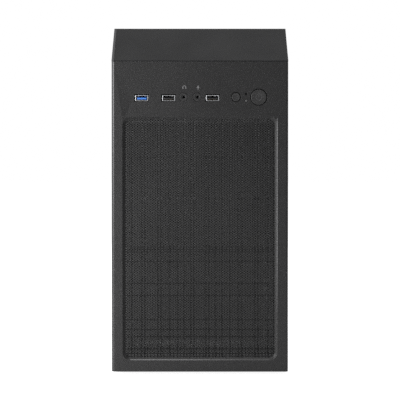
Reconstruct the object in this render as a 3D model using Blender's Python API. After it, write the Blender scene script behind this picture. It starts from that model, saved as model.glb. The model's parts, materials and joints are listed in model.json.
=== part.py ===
"""Desktop computer tower: a steel chassis with its board, drives, fans and power supply, a pull-off plastic front
and two side panels that slide off to the rear. Front towards -Y, +Z up, origin under the middle of the case."""

import math

import bmesh
import bpy
from mathutils import Matrix, Vector

MM = 0.001
GAP = 0.3 * MM  # between pieces that touch

# overall
WIDTH = 180 * MM
HEIGHT = 358 * MM
FRONT_Y = -175 * MM
REAR_Y = 167 * MM  # outer face of the rear panel
SHEET = 1.0 * MM
PANEL_SHEET = 0.8 * MM

# plastic front
BEZEL_DEPTH = 45 * MM
BEZEL_BOTTOM = 3 * MM
CREASE_Z = 319 * MM
BEZEL_FACE = 3 * MM
BEZEL_WALL = 2.5 * MM
EDGE_CHAMFER = 2 * MM
RECESS_SIDE = 11 * MM
RECESS_BOTTOM = 11.6 * MM
RECESS_TOP = 55.6 * MM  # below the crease
RECESS_RADIUS = 8 * MM
RECESS_DEPTH = 2.7 * MM
MESH_SHEET = 0.8 * MM
MESH_LAP = 4 * MM  # hidden behind the face all round
FILTER_SIZE = (132.5 * MM, 217 * MM)
FILTER_CENTRE = (-2.1 * MM, 143.1 * MM)
FILTER_RIM = 6 * MM
FILTER_RADIUS = 3 * MM
FILTER_DEPTH = 4 * MM

# front ports, each as its offset from the middle and its drop below the crease
PORT_DROP = 36.7 * MM
USB_X = (-59.3 * MM, -31.8 * MM, 12.9 * MM)
USB_SIZE = (13.1 * MM, 5.7 * MM)
USB_LENGTH = 15 * MM
USB_WALL = 0.5 * MM
USB_TONGUE = 1.8 * MM
JACK_X = (-16.5 * MM, -2.5 * MM)
JACK_DROP = 35.7 * MM
JACK_RADIUS = 4.4 * MM
JACK_BORE = 1.75 * MM
LED_PLACE = ((47 * MM, 32.7 * MM), (47 * MM, 39.4 * MM))
LED_RADIUS = 0.9 * MM
POWER_PLACE = (60 * MM, 35.8 * MM)
POWER_RADIUS = 7.9 * MM
RESET_PLACE = (36.7 * MM, 35.7 * MM)
RESET_RADIUS = 4.4 * MM
BUTTON_CLEARANCE = 0.7 * MM
BUTTON_LENGTH = 9 * MM
BUTTON_STEM = 2 * MM
BUTTON_TRAVEL = 2 * MM
SWITCH_HEIGHT = 3 * MM
BOARD_SETBACK = 18 * MM  # port board behind the face
PORT_BOARD = (148 * MM, 1.6 * MM, 32 * MM)

# chassis
BASE_Z = 9 * MM
FLANGE = 12 * MM
SIDE_GAP = 0.5 * MM
LIP = 10 * MM
LIP_CLEARANCE = 0.8 * MM
FOOT_RADIUS = 12 * MM
FOOT_INSET = 28 * MM
FOOT_Y = (-110 * MM, 145 * MM)
CLIP_Z = (40 * MM, 290 * MM)
CLIP_INSET = 11.5 * MM
CLIP_SIZE = (5 * MM, 8 * MM)
CLIP_REACH = 9 * MM
CLIP_CLEARANCE = 0.7 * MM
SCREW_Z = (60 * MM, 300 * MM)
SCREW_INSET = 8.5 * MM
SCREW_RADIUS = 1.75 * MM
SCREW_HEAD = 6 * MM
SCREW_HEAD_LENGTH = 6.6 * MM
SCREW_CLEARANCE = 0.8 * MM

# board
TRAY_INSET = 10 * MM
STANDOFF = 6.5 * MM
BOARD_SHEET = 1.6 * MM
BOARD_Z = (16 * MM, 260 * MM)
BOARD_DEPTH = 190 * MM
BOARD_REAR_GAP = 4 * MM
SHIELD_SIZE = (44.45 * MM, 158.75 * MM)
SHIELD_BOTTOM = 100 * MM
SLOT_PITCH = 20.32 * MM
SLOT_FIRST_Z = 26 * MM
SLOT_OPENING = (104 * MM, 13 * MM)
SLOT_COVER = (118 * MM, 18.4 * MM)
COOLER_Y = 92 * MM
COOLER_Z = 196 * MM
COOLER_SIZE = 90 * MM
COOLER_HEIGHT = 30 * MM
COOLER_FAN_DEPTH = 15 * MM
MEMORY_Y = (34 * MM, 25 * MM)
MEMORY_SIZE = (30 * MM, 1.4 * MM, 133 * MM)
MEMORY_Z = 118 * MM
MEMORY_SOCKET = (7 * MM, 6 * MM, 140 * MM)
CHIPSET_PLACE = (-4 * MM, 98 * MM)
CHIPSET_SIZE = 34 * MM

# power supply
SUPPLY_SIZE = (150 * MM, 140 * MM, 86 * MM)
SUPPLY_X = -2 * MM
SUPPLY_BOTTOM = 267 * MM
SUPPLY_FAN_RADIUS = 57 * MM
SUPPLY_FAN_DEPTH = 18 * MM
INLET_PLACE = (48 * MM, 318 * MM)
INLET_SIZE = (30 * MM, 24 * MM)
INLET_DEPTH = 20 * MM
ROCKER_PLACE = (48 * MM, 290 * MM)
ROCKER_SIZE = (13 * MM, 19 * MM)

# fans: side, depth and bore radius of the frame
FRONT_FAN = (120 * MM, 25 * MM, 58 * MM)
FRONT_FAN_Z = 190 * MM
REAR_FAN = (92 * MM, 25 * MM, 44 * MM)
REAR_FAN_PLACE = (-36 * MM, 196 * MM)
HUB_RATIO = 0.36
BLADE_GAP = 1.5 * MM
BLADE_ANGLE = 0.105  # radians a blade covers
BLADE_SWEEP = 0.3  # radians its tip lags its root
MOTOR_PLATE = 3 * MM

# drives
DRIVE_SIZE = (101.6 * MM, 146 * MM, 26.1 * MM)
DRIVE_X = -14 * MM
DRIVE_FRONT = -122 * MM
CAGE_LENGTH = 140 * MM
CAGE_HEIGHT = 72 * MM
CAGE_CLEARANCE = 0.4 * MM

BEZEL_BACK = FRONT_Y + BEZEL_DEPTH
FACE_BACK = FRONT_Y + BEZEL_FACE
FRAME_Y = BEZEL_BACK + GAP  # front face of the front frame
HALF = WIDTH / 2
FOOT_X = HALF - FOOT_INSET
CLIP_X = HALF - CLIP_INSET
SCREW_X = HALF - SCREW_INSET
TRAY_X = HALF - TRAY_INSET
PANEL_INNER = HALF - PANEL_SHEET
CHASSIS_HALF = PANEL_INNER - SIDE_GAP
BOARD_FACE = TRAY_X - STANDOFF - BOARD_SHEET
BOARD_REAR = REAR_Y - SHEET - BOARD_REAR_GAP
RAIL_Z = HEIGHT - PANEL_SHEET - LIP_CLEARANCE  # top of the lowered edges of the top cover

COLOURS = {
    "black_plastic": ((0.045, 0.045, 0.048), 0.55, 0.0),
    "grey_plastic": ((0.048, 0.048, 0.05), 0.45, 0.0),
    "black_paint": ((0.04, 0.04, 0.042), 0.5, 0.3),
    "black_mesh": ((0.035, 0.035, 0.037), 0.45, 0.6),
    "steel": ((0.55, 0.55, 0.56), 0.4, 1.0),
    "chrome_steel": ((0.7, 0.7, 0.72), 0.25, 1.0),
    "aluminium": ((0.7, 0.71, 0.72), 0.35, 1.0),
    "blue_plastic": ((0.1, 0.3, 0.75), 0.4, 0.0),
    "board_green": ((0.02, 0.09, 0.05), 0.45, 0.0),
    "fan_plastic": ((0.02, 0.02, 0.022), 0.4, 0.0),
    "rubber": ((0.02, 0.02, 0.02), 0.8, 0.0),
    "clear_plastic": ((0.75, 0.8, 0.85), 0.2, 0.0),
    "cable_sleeve": ((0.015, 0.015, 0.016), 0.7, 0.0),
}

parts = None


def clear_scene():
    for thing in list(bpy.data.objects):
        bpy.data.objects.remove(thing, do_unlink=True)


def make_materials():
    for name, (colour, roughness, metallic) in COLOURS.items():
        material = bpy.data.materials.new(name)
        material.use_nodes = True
        shader = material.node_tree.nodes["Principled BSDF"]
        shader.inputs["Base Color"].default_value = (*colour, 1)
        shader.inputs["Roughness"].default_value = roughness
        shader.inputs["Metallic"].default_value = metallic


def object_from(bm, name):
    mesh = bpy.data.meshes.new(name)
    bmesh.ops.recalc_face_normals(bm, faces=bm.faces)
    bm.to_mesh(mesh)
    bm.free()
    made = bpy.data.objects.new(name, mesh)
    parts.objects.link(made)
    return made


def box(name, low, high, chamfer=0, edges=None):
    """A box between two corners; edges picks the ones to chamfer by their two ends."""
    bm = bmesh.new()
    low, high = Vector(low), Vector(high)
    size = high - low
    place = Matrix.Translation((low + high) / 2) @ Matrix.Diagonal((*size, 1))
    bmesh.ops.create_cube(bm, size=1, matrix=place)
    if chamfer:
        chosen = [e for e in bm.edges if edges is None or edges(e.verts[0].co, e.verts[1].co)]
        bmesh.ops.bevel(bm, geom=chosen, offset=chamfer, segments=1, affect="EDGES")
    return object_from(bm, name)


def turn_to(axis):
    return Vector((0, 0, 1)).rotation_difference(Vector(axis)).to_matrix().to_4x4()


def cylinder(name, start, axis, length, radius, end_radius=None, sides=24):
    """A cylinder or cone from start along axis."""
    bm = bmesh.new()
    bmesh.ops.create_cone(bm, cap_ends=True, segments=sides, radius1=radius,
                          radius2=radius if end_radius is None else end_radius, depth=length)
    middle = Vector(start) + Vector(axis) * length / 2
    bmesh.ops.transform(bm, matrix=Matrix.Translation(middle) @ turn_to(axis), verts=bm.verts)
    return object_from(bm, name)


def loft(name, rings):
    """A solid through closed rings of points, each with as many points as the next."""
    bm = bmesh.new()
    rows = [[bm.verts.new(p) for p in ring] for ring in rings]
    for near, far in zip(rows, rows[1:]):
        for i in range(len(near)):
            j = (i + 1) % len(near)
            bm.faces.new((near[i], near[j], far[j], far[i]))
    bm.faces.new(list(reversed(rows[0])))
    bm.faces.new(rows[-1])
    return object_from(bm, name)


def outline_along_y(name, points, start, end):
    """An outline of (x, z) points carried from start to end along Y."""
    return loft(name, [[(x, y, z) for x, z in points] for y in (start, end)])


def rounded_rectangle(centre, size, radius, steps=6):
    points = []
    for corner, (sx, sz) in enumerate(((1, 1), (-1, 1), (-1, -1), (1, -1))):
        cx = centre[0] + sx * (size[0] / 2 - radius)
        cz = centre[1] + sz * (size[1] / 2 - radius)
        for step in range(steps + 1):
            angle = (corner + step / steps) * math.pi / 2
            points.append((cx + radius * math.cos(angle), cz + radius * math.sin(angle)))
    return points


def boolean(target, tool, operation):
    modifier = target.modifiers.new("cut", "BOOLEAN")
    modifier.operation = operation
    modifier.solver = "EXACT"
    modifier.object = tool
    evaluated = target.evaluated_get(bpy.context.evaluated_depsgraph_get())
    mesh = bpy.data.meshes.new_from_object(evaluated)
    target.modifiers.clear()
    target.data = mesh
    bpy.data.objects.remove(tool, do_unlink=True)


def cut(target, *tools):
    for tool in tools:
        boolean(target, tool, "DIFFERENCE")


def join(target, *tools):
    for tool in tools:
        boolean(target, tool, "UNION")


def tidy(made):
    """Weld what the cuts left apart and merge flat faces."""
    bm = bmesh.new()
    bm.from_mesh(made.data)
    bmesh.ops.remove_doubles(bm, verts=bm.verts, dist=0.000002)
    bmesh.ops.dissolve_limit(bm, angle_limit=0.002, verts=bm.verts, edges=bm.edges)
    bmesh.ops.triangulate(bm, faces=bm.faces)
    bmesh.ops.dissolve_degenerate(bm, edges=bm.edges, dist=0.000001)
    bm.to_mesh(made.data)
    bm.free()


def finish(made, name, material, origin=None):
    """Name the piece, give it its material and put its origin on its joint."""
    tidy(made)
    made.name = name
    made.data.name = name
    made.data.materials.clear()
    made.data.materials.append(bpy.data.materials[material])
    made.data.shade_smooth()
    made.data.set_sharp_from_angle(angle=math.radians(35))
    if origin is not None:
        made.data.transform(Matrix.Translation(-Vector(origin)))
        made.location = origin
    return made


def tube(name, route, radius):
    """A round lead along a smooth curve through the route's points."""
    curve = bpy.data.curves.new(name, "CURVE")
    curve.dimensions = "3D"
    curve.bevel_depth = radius
    curve.bevel_resolution = 2
    curve.use_fill_caps = True
    points = smooth_route([Vector(p) for p in route], radius * 5)
    spline = curve.splines.new("POLY")
    spline.points.add(len(points) - 1)
    for slot, point in zip(spline.points, points):
        slot.co = (*point, 1)
    guide = bpy.data.objects.new(name, curve)
    parts.objects.link(guide)
    bpy.context.view_layer.update()
    evaluated = guide.evaluated_get(bpy.context.evaluated_depsgraph_get())
    mesh = bpy.data.meshes.new_from_object(evaluated)
    made = bpy.data.objects.new(name, mesh)
    parts.objects.link(made)
    bpy.data.objects.remove(guide, do_unlink=True)
    return made


def smooth_route(points, step):
    """Points of a Catmull-Rom curve through the given ones, about a step apart."""
    ends = [points[0] * 2 - points[1], *points, points[-1] * 2 - points[-2]]
    found = [points[0]]
    for a, b, c, d in zip(ends, ends[1:], ends[2:], ends[3:]):
        count = max(1, round((c - b).length / step))
        for i in range(1, count + 1):
            t = i / count
            found.append(0.5 * (2 * b + (c - a) * t + (2 * a - 5 * b + 4 * c - d) * t * t
                                + (3 * b - a - 3 * c + d) * t ** 3))
    return found


def add_screw_holes(plate, side, front, back, radius):
    for z in SCREW_Z:
        cut(plate, cylinder("hole", (side * SCREW_X, front - SHEET, z), (0, 1, 0),
                            back - front + 2 * SHEET, radius, sides=16))


# plastic front


def face_hole(name, x, z, radius, sides=32):
    return cylinder(name, (x, FRONT_Y - SHEET, z), (0, 1, 0), BEZEL_FACE + 2 * SHEET, radius, sides=sides)


def recess_rectangle(inset):
    low = BEZEL_BOTTOM + RECESS_BOTTOM
    high = CREASE_Z - RECESS_TOP
    size = (WIDTH - 2 * RECESS_SIDE - 2 * inset, high - low - 2 * inset)
    return (0, (low + high) / 2), size


def recess_cutter():
    """Runs in at 45 degrees from the face, then straight through."""
    rings = []
    for y, inset in ((FRONT_Y - SHEET, -SHEET), (FRONT_Y + RECESS_DEPTH, RECESS_DEPTH), (FACE_BACK + SHEET, RECESS_DEPTH)):
        centre, size = recess_rectangle(inset)
        rings.append([(x, y, z) for x, z in rounded_rectangle(centre, size, RECESS_RADIUS - inset)])
    return loft("recess", rings)


def clip(side, z):
    """A peg on a foot inside the side wall, which goes through the front frame."""
    near, tip = CLIP_X, CLIP_X + CLIP_SIZE[0]
    wall = HALF - BEZEL_WALL / 2
    start, foot, end = BEZEL_BACK - FLANGE, BEZEL_BACK - SHEET, BEZEL_BACK + CLIP_REACH
    outline = [(near, start), (wall, start), (wall, foot), (tip, foot), (tip, end), (near, end)]
    half = CLIP_SIZE[1] / 2
    return loft("clip", [[(side * x, y, level) for x, y in outline] for level in (z - half, z + half)])


def front_bezel():
    upright = lambda a, b: abs(a.z - b.z) > BEZEL_DEPTH and a.y < BEZEL_BACK - BEZEL_DEPTH / 2
    made = box("front_bezel", (-HALF, FRONT_Y, BEZEL_BOTTOM), (HALF, BEZEL_BACK, CREASE_Z), EDGE_CHAMFER, upright)
    cut(made, box("hollow", (-HALF + BEZEL_WALL, FACE_BACK, BEZEL_BOTTOM + BEZEL_WALL),
                  (HALF - BEZEL_WALL, BEZEL_BACK + SHEET, CREASE_Z - BEZEL_WALL)))
    for x, z in (POWER_PLACE, RESET_PLACE):
        radius = (POWER_RADIUS if (x, z) == POWER_PLACE else RESET_RADIUS) + BUTTON_CLEARANCE
        join(made, cylinder("collar", (x, FACE_BACK - SHEET, CREASE_Z - z), (0, 1, 0),
                            SHEET + BUTTON_LENGTH / 2, radius + SHEET * 1.2, sides=32))
        cut(made, cylinder("bore", (x, FRONT_Y - SHEET, CREASE_Z - z), (0, 1, 0), BUTTON_LENGTH * 2, radius, sides=32))
    for x in USB_X:
        half_x = USB_SIZE[0] / 2 + 0.9 * MM
        half_z = USB_SIZE[1] / 2 + 0.9 * MM
        z = CREASE_Z - PORT_DROP
        cut(made, box("usb", (x - half_x, FRONT_Y - SHEET, z - half_z), (x + half_x, FACE_BACK + SHEET, z + half_z)))
    for x in JACK_X:
        cut(made, face_hole("jack", x, CREASE_Z - JACK_DROP, JACK_RADIUS + GAP, 24))
    for x, drop in LED_PLACE:
        cut(made, face_hole("led", x, CREASE_Z - drop, LED_RADIUS + GAP, 12))
    cut(made, recess_cutter())
    join(made, *[clip(side, z) for side in (-1, 1) for z in CLIP_Z])
    finish(made, "front_bezel", "black_plastic")


def bezel_top_cap():
    """A wedge from the crease up to the top cover, open at its back and underneath."""
    low = CREASE_Z + GAP
    lip = low + SHEET
    slope = (HEIGHT - lip) / BEZEL_DEPTH
    drop = BEZEL_WALL * math.sqrt(1 + slope * slope)  # the wall's thickness measured upright
    outer = [(FRONT_Y, low), (FRONT_Y, lip), (BEZEL_BACK, HEIGHT), (BEZEL_BACK, low)]
    made = loft("bezel_top_cap", [[(x, y, z) for y, z in outer] for x in (-HALF, HALF)])
    start, end = FRONT_Y + drop / slope, BEZEL_BACK + SHEET
    below = low - SHEET
    inner = [(start, below), (start, lip - SHEET / 2), (end, lip + slope * (end - FRONT_Y) - drop), (end, below)]
    reach = HALF - BEZEL_WALL
    cut(made, loft("hollow", [[(x, y, z) for y, z in inner] for x in (-reach, reach)]))
    finish(made, "bezel_top_cap", "grey_plastic")


def mesh_and_filter():
    centre, opening = recess_rectangle(RECESS_DEPTH)
    size = tuple(s + 2 * MESH_LAP for s in opening)
    front = FACE_BACK + GAP
    outline = rounded_rectangle(centre, size, RECESS_RADIUS, steps=3)
    finish(outline_along_y("mesh_panel", outline, front, front + MESH_SHEET), "mesh_panel", "black_mesh")
    front += MESH_SHEET + GAP
    outer = rounded_rectangle(FILTER_CENTRE, FILTER_SIZE, FILTER_RADIUS, steps=3)
    inner = rounded_rectangle(FILTER_CENTRE, tuple(s - 2 * FILTER_RIM for s in FILTER_SIZE), SHEET, steps=3)
    made = outline_along_y("dust_filter", outer, front, front + FILTER_DEPTH)
    cut(made, outline_along_y("pocket", inner, front + SHEET, front + FILTER_DEPTH + SHEET))
    finish(made, "dust_filter", "fan_plastic")


def port_board():
    top = FRONT_Y + BOARD_SETBACK
    centre_z = CREASE_Z - PORT_DROP
    made = box("io_board", (-PORT_BOARD[0] / 2, top, centre_z - PORT_BOARD[2] / 2),
               (PORT_BOARD[0] / 2, top + PORT_BOARD[1], centre_z + PORT_BOARD[2] / 2))
    for x, drop in (POWER_PLACE, RESET_PLACE):
        join(made, cylinder("switch", (x, top + SHEET, CREASE_Z - drop), (0, -1, 0), SWITCH_HEIGHT + SHEET, BUTTON_STEM * 1.4,
                            sides=16))
    finish(made, "io_board", "board_green")


def usb_ports():
    z = CREASE_Z - PORT_DROP
    front = FRONT_Y + 0.6 * MM
    back = FRONT_Y + BOARD_SETBACK - GAP
    for number, x in enumerate(USB_X, 1):
        half_x, half_z = USB_SIZE[0] / 2, USB_SIZE[1] / 2
        shell = box("shell", (x - half_x, front, z - half_z), (x + half_x, back, z + half_z))
        cut(shell, box("inside", (x - half_x + USB_WALL, front - SHEET, z - half_z + USB_WALL),
                       (x + half_x - USB_WALL, back - SHEET, z + half_z - USB_WALL)))
        finish(shell, f"usb_shell_{number}", "chrome_steel")
        wide = half_x - USB_WALL - SHEET
        top = z + half_z - USB_WALL - GAP
        tongue = box("tongue", (x - wide, front + SHEET, top - USB_TONGUE), (x + wide, back - SHEET - GAP, top))
        join(tongue, box("root", (x - wide, back - 4 * SHEET, z - half_z + USB_WALL + GAP),
                         (x + wide, back - SHEET - GAP, top - USB_TONGUE / 2)))
        finish(tongue, f"usb_tongue_{number}", "blue_plastic" if number == 1 else "grey_plastic")


def audio_jacks():
    back = FRONT_Y + BOARD_SETBACK - GAP
    for name, x in zip(("headphone_jack", "microphone_jack"), JACK_X):
        z = CREASE_Z - JACK_DROP
        front = FRONT_Y + 0.4 * MM
        made = cylinder("jack", (x, front, z), (0, 1, 0), back - front, JACK_RADIUS)
        cut(made, cylinder("bore", (x, front - SHEET, z), (0, 1, 0), SHEET + 13 * MM, JACK_BORE, sides=16),
            cylinder("sink", (x, front - SHEET, z), (0, 1, 0), 2 * SHEET, JACK_RADIUS * 1.2, JACK_BORE * 1.5))
        finish(made, name, "fan_plastic")


def light_pipes():
    back = FRONT_Y + BOARD_SETBACK - GAP
    for name, (x, drop) in zip(("drive_light", "power_light"), LED_PLACE):
        finish(cylinder(name, (x, FRONT_Y, CREASE_Z - drop), (0, 1, 0), back - FRONT_Y, LED_RADIUS, sides=12),
               name, "clear_plastic")


def buttons():
    stem_end = FRONT_Y + BOARD_SETBACK - SWITCH_HEIGHT - BUTTON_TRAVEL - GAP
    for name, (x, drop), radius in (("power_button", POWER_PLACE, POWER_RADIUS),
                                    ("reset_button", RESET_PLACE, RESET_RADIUS)):
        z = CREASE_Z - drop
        front = FRONT_Y + 0.2 * MM
        made = cylinder("cap", (x, front, z), (0, 1, 0), BUTTON_LENGTH, radius, sides=32)
        join(made, cylinder("stem", (x, front + SHEET, z), (0, 1, 0), stem_end - front - SHEET, BUTTON_STEM, sides=16))
        finish(made, name, "black_plastic", (x, front, z))


# chassis


def top_cover():
    edge = HALF - LIP
    inner = edge - SHEET
    half = [(CHASSIS_HALF, RAIL_Z - FLANGE), (CHASSIS_HALF, RAIL_Z), (inner, RAIL_Z), (inner, HEIGHT)]
    under = [(inner - SHEET, HEIGHT - SHEET), (inner - SHEET, RAIL_Z - SHEET), (CHASSIS_HALF - SHEET, RAIL_Z - SHEET),
             (CHASSIS_HALF - SHEET, RAIL_Z - FLANGE)]
    points = half + [(-x, z) for x, z in reversed(half)] + [(-x, z) for x, z in reversed(under)] + under
    finish(outline_along_y("top_cover", points, FRAME_Y, REAR_Y), "top_cover", "black_paint")


def chassis_base():
    points = [(CHASSIS_HALF, BASE_Z), (CHASSIS_HALF, BASE_Z + FLANGE), (CHASSIS_HALF - SHEET, BASE_Z + FLANGE),
              (CHASSIS_HALF - SHEET, BASE_Z + SHEET)]
    points += [(-x, z) for x, z in reversed(points)]
    finish(outline_along_y("chassis_base", points, FRAME_Y, REAR_Y), "chassis_base", "steel")


def end_plate(name, front, back, flange_end):
    """A plate across the case with flanges along its sides and a raised middle under the top cover."""
    inset = CHASSIS_HALF - SHEET - GAP
    low = BASE_Z + SHEET + GAP
    shoulder = RAIL_Z - SHEET - GAP
    middle = HALF - LIP - 2 * SHEET - GAP
    peak = HEIGHT - SHEET - GAP
    face, root = (front, back) if flange_end > back else (back, front)
    half = [(inset, face), (inset, flange_end), (inset - SHEET, flange_end), (inset - SHEET, root)]
    points = half + [(-x, y) for x, y in reversed(half)]
    made = loft(name, [[(x, y, z) for x, y in points] for z in (low, peak)])
    for side in (-1, 1):
        xs = sorted((side * middle, side * HALF))
        ys = sorted((face, flange_end))
        cut(made, box("shoulder", (xs[0], ys[0] - SHEET, shoulder), (xs[1], ys[1] + SHEET, HEIGHT)))
    return made


def front_frame():
    front, back = FRAME_Y, FRAME_Y + SHEET
    made = end_plate("front_frame", front, back, back + FLANGE)
    cut(made, cylinder("fan_window", (0, front - SHEET, FRONT_FAN_Z), (0, 1, 0), 3 * SHEET, FRONT_FAN[2], sides=48))
    cut(made, box("port_window", (-60 * MM, front - SHEET, 272 * MM), (60 * MM, back + SHEET, 300 * MM)))
    cut(made, box("drive_window", (DRIVE_X - 50 * MM, front - SHEET, BASE_Z + FLANGE),
                  (DRIVE_X + 50 * MM, back + SHEET, BASE_Z + CAGE_HEIGHT)))
    half = CLIP_SIZE[1] / 2 + CLIP_CLEARANCE
    for side in (-1, 1):
        xs = sorted((side * (CLIP_X - CLIP_CLEARANCE), side * (CLIP_X + CLIP_SIZE[0] + CLIP_CLEARANCE)))
        for z in CLIP_Z:
            cut(made, box("clip_hole", (xs[0], front - SHEET, z - half), (xs[1], back + SHEET, z + half)))
    finish(made, "front_frame", "steel")


def hexagon_holes(made, centre, radius, pitch, across, front, back):
    """Cuts a honeycomb of holes whose centres lie inside a circle."""
    reach = math.ceil(radius / pitch) + 1
    for row in range(-reach, reach + 1):
        for column in range(-reach, reach + 1):
            x = (column + row / 2 % 1) * pitch
            z = row * pitch * math.sqrt(3) / 2
            if math.hypot(x, z) < radius - across / 2:
                cut(made, cylinder("hexagon", (centre[0] + x, front - SHEET, centre[1] + z), (0, 1, 0),
                                   back - front + 2 * SHEET, across / math.sqrt(3), sides=6))


def slot_z(number):
    return SLOT_FIRST_Z + number * SLOT_PITCH


def shield_centre():
    return TRAY_X - STANDOFF + 2 * MM - SHIELD_SIZE[0] / 2, SHIELD_BOTTOM + SHIELD_SIZE[1] / 2


def supply_span():
    low = (SUPPLY_X - SUPPLY_SIZE[0] / 2, REAR_Y - SHEET - GAP - SUPPLY_SIZE[1], SUPPLY_BOTTOM)
    return Vector(low), Vector(low) + Vector(SUPPLY_SIZE)


def rear_panel():
    front, back = REAR_Y - SHEET, REAR_Y
    made = end_plate("rear_panel", front, back, front - FLANGE)
    low, high = supply_span()
    rim = 5 * MM
    cut(made, box("supply_window", (low.x + rim, front - SHEET, low.z + rim),
                  (high.x - rim, back + SHEET, high.z - rim)))
    x, z = shield_centre()
    half_x, half_z = SHIELD_SIZE[0] / 2, SHIELD_SIZE[1] / 2
    cut(made, box("shield_window", (x - half_x, front - SHEET, z - half_z), (x + half_x, back + SHEET, z + half_z)))
    for number in range(4):
        z = slot_z(number)
        right = TRAY_X - STANDOFF - 6 * MM
        cut(made, box("slot", (right - SLOT_OPENING[0], front - SHEET, z - SLOT_OPENING[1] / 2),
                      (right, back + SHEET, z + SLOT_OPENING[1] / 2)))
    hexagon_holes(made, REAR_FAN_PLACE, REAR_FAN[2], 15 * MM, 12.5 * MM, front, back)
    for side in (-1, 1):
        add_screw_holes(made, side, front, back, SCREW_RADIUS + GAP)
    finish(made, "rear_panel", "black_paint")


def slot_covers():
    back = REAR_Y - SHEET - GAP
    for number in range(4):
        z = slot_z(number)
        right = TRAY_X - STANDOFF + SHEET
        left = right - SLOT_COVER[0]
        half = SLOT_COVER[1] / 2
        made = box("cover", (left, back - SHEET, z - half), (right, back, z + half))
        join(made, box("tab", (left, back - FLANGE, z - half), (left + SHEET, back, z + half)))
        finish(made, f"slot_cover_{number + 1}", "steel")


def side_panels():
    low, high = BASE_Z - LIP_CLEARANCE - PANEL_SHEET, HEIGHT
    front, back = FRAME_Y, REAR_Y + GAP + PANEL_SHEET
    for name, side in (("left_side_panel", -1), ("right_side_panel", 1)):
        points = [(HALF - LIP, low), (HALF, low), (HALF, high), (HALF - LIP, high), (HALF - LIP, high - PANEL_SHEET),
                  (PANEL_INNER, high - PANEL_SHEET), (PANEL_INNER, low + PANEL_SHEET), (HALF - LIP, low + PANEL_SHEET)]
        made = outline_along_y(name, [(side * x, z) for x, z in points], front, back)
        inner = SCREW_X - SCREW_HEAD - SHEET
        xs = sorted((side * inner, side * (HALF - PANEL_SHEET / 2)))
        join(made, box("fold", (xs[0], REAR_Y + GAP, BASE_Z + FLANGE), (xs[1], back, RAIL_Z - FLANGE)))
        add_screw_holes(made, side, REAR_Y, back, SCREW_RADIUS + GAP)
        finish(made, name, "black_paint")
        for position, z in zip(("lower", "upper"), SCREW_Z):
            head = REAR_Y + 2 * GAP + PANEL_SHEET
            screw = cylinder("head", (side * SCREW_X, head, z), (0, 1, 0), SCREW_HEAD_LENGTH, SCREW_HEAD, sides=20)
            join(screw, cylinder("shank", (side * SCREW_X, head + SHEET, z), (0, -1, 0), FLANGE, SCREW_RADIUS, sides=12))
            place = "left" if side < 0 else "right"
            finish(screw, f"thumbscrew_{place}_{position}", "aluminium", (side * SCREW_X, head, z))


def feet():
    for depth, y in zip(("front", "rear"), FOOT_Y):
        for side, name in ((-1, "left"), (1, "right")):
            finish(cylinder("foot", (side * FOOT_X, y, BASE_Z - GAP), (0, 0, -1), BASE_Z - GAP, FOOT_RADIUS,
                            FOOT_RADIUS * 0.85), f"foot_{depth}_{name}", "rubber")


def board_screw_places():
    rear, front = BOARD_REAR - 10 * MM, BOARD_REAR - BOARD_DEPTH + 8 * MM
    low, high = BOARD_Z[0] + 8 * MM, BOARD_Z[1] - 8 * MM
    return [(y, z) for y in (rear, front) for z in (low, (low + high) / 2, high)]


def motherboard_tray():
    front = BEZEL_BACK + CLIP_REACH + 3 * MM  # clear of the bezel's clips
    back = REAR_Y - SHEET - FLANGE - GAP
    low, high = BASE_Z + SHEET + GAP, SUPPLY_BOTTOM - 3 * MM
    made = box("tray", (TRAY_X, front, low), (TRAY_X + SHEET, back, high))
    half = COOLER_SIZE / 2
    cut(made, box("cooler_window", (TRAY_X - SHEET, COOLER_Y - half, COOLER_Z - half),
                  (TRAY_X + 2 * SHEET, COOLER_Y + half, COOLER_Z + half)))
    join(made, box("fold", (TRAY_X - FLANGE / 2, front, low + 2 * FLANGE), (TRAY_X + SHEET, front + SHEET, 262 * MM)))
    for y, z in board_screw_places():
        reach = min(y, back - 4 * MM)
        join(made, cylinder("standoff", (TRAY_X + SHEET / 2, reach, z), (-1, 0, 0), SHEET / 2 + STANDOFF - GAP, 2.6 * MM,
                            sides=12))
    finish(made, "motherboard_tray", "steel")


def motherboard():
    back, face = BOARD_FACE + BOARD_SHEET, BOARD_FACE
    front = BOARD_REAR - BOARD_DEPTH
    made = box("board", (face, front, BOARD_Z[0]), (back, BOARD_REAR, BOARD_Z[1]))
    inside = face + BOARD_SHEET / 2

    def fitted(low_y, low_z, size_y, size_z, height):
        join(made, box("fitted", (face - height, low_y, low_z), (inside, low_y + size_y, low_z + size_z)))

    for y in MEMORY_Y:
        fitted(y - MEMORY_SOCKET[1] / 2, MEMORY_Z - 4 * MM, MEMORY_SOCKET[1], MEMORY_SOCKET[2], MEMORY_SOCKET[0])
        cut(made, box("groove", (face - MEMORY_SOCKET[0] - SHEET, y - MEMORY_SIZE[1] / 2 - GAP, MEMORY_Z - GAP),
                      (face - SHEET, y + MEMORY_SIZE[1] / 2 + GAP, MEMORY_Z + MEMORY_SIZE[2] + GAP)))
    for number, length in enumerate((30 * MM, 89 * MM, 30 * MM, 89 * MM)):
        fitted(BOARD_REAR - 58 * MM - length, slot_z(number) - 3.7 * MM, length, 7.4 * MM, 11 * MM)
    fitted(front + 2 * MM, 160 * MM, 10 * MM, 52 * MM, 12 * MM)  # main power socket
    for z in (40 * MM, 52 * MM, 64 * MM):
        fitted(front + 2 * MM, z, 12 * MM, 8 * MM, 9 * MM)  # drive sockets
    for y, z in ((40 * MM, 100 * MM), (52 * MM, 100 * MM), (64 * MM, 100 * MM), (80 * MM, 254 * MM), (92 * MM, 254 * MM)):
        join(made, cylinder("capacitor", (inside, y, z), (-1, 0, 0), 9 * MM, 4 * MM, sides=12))
    finish(made, "motherboard", "board_green")


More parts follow.
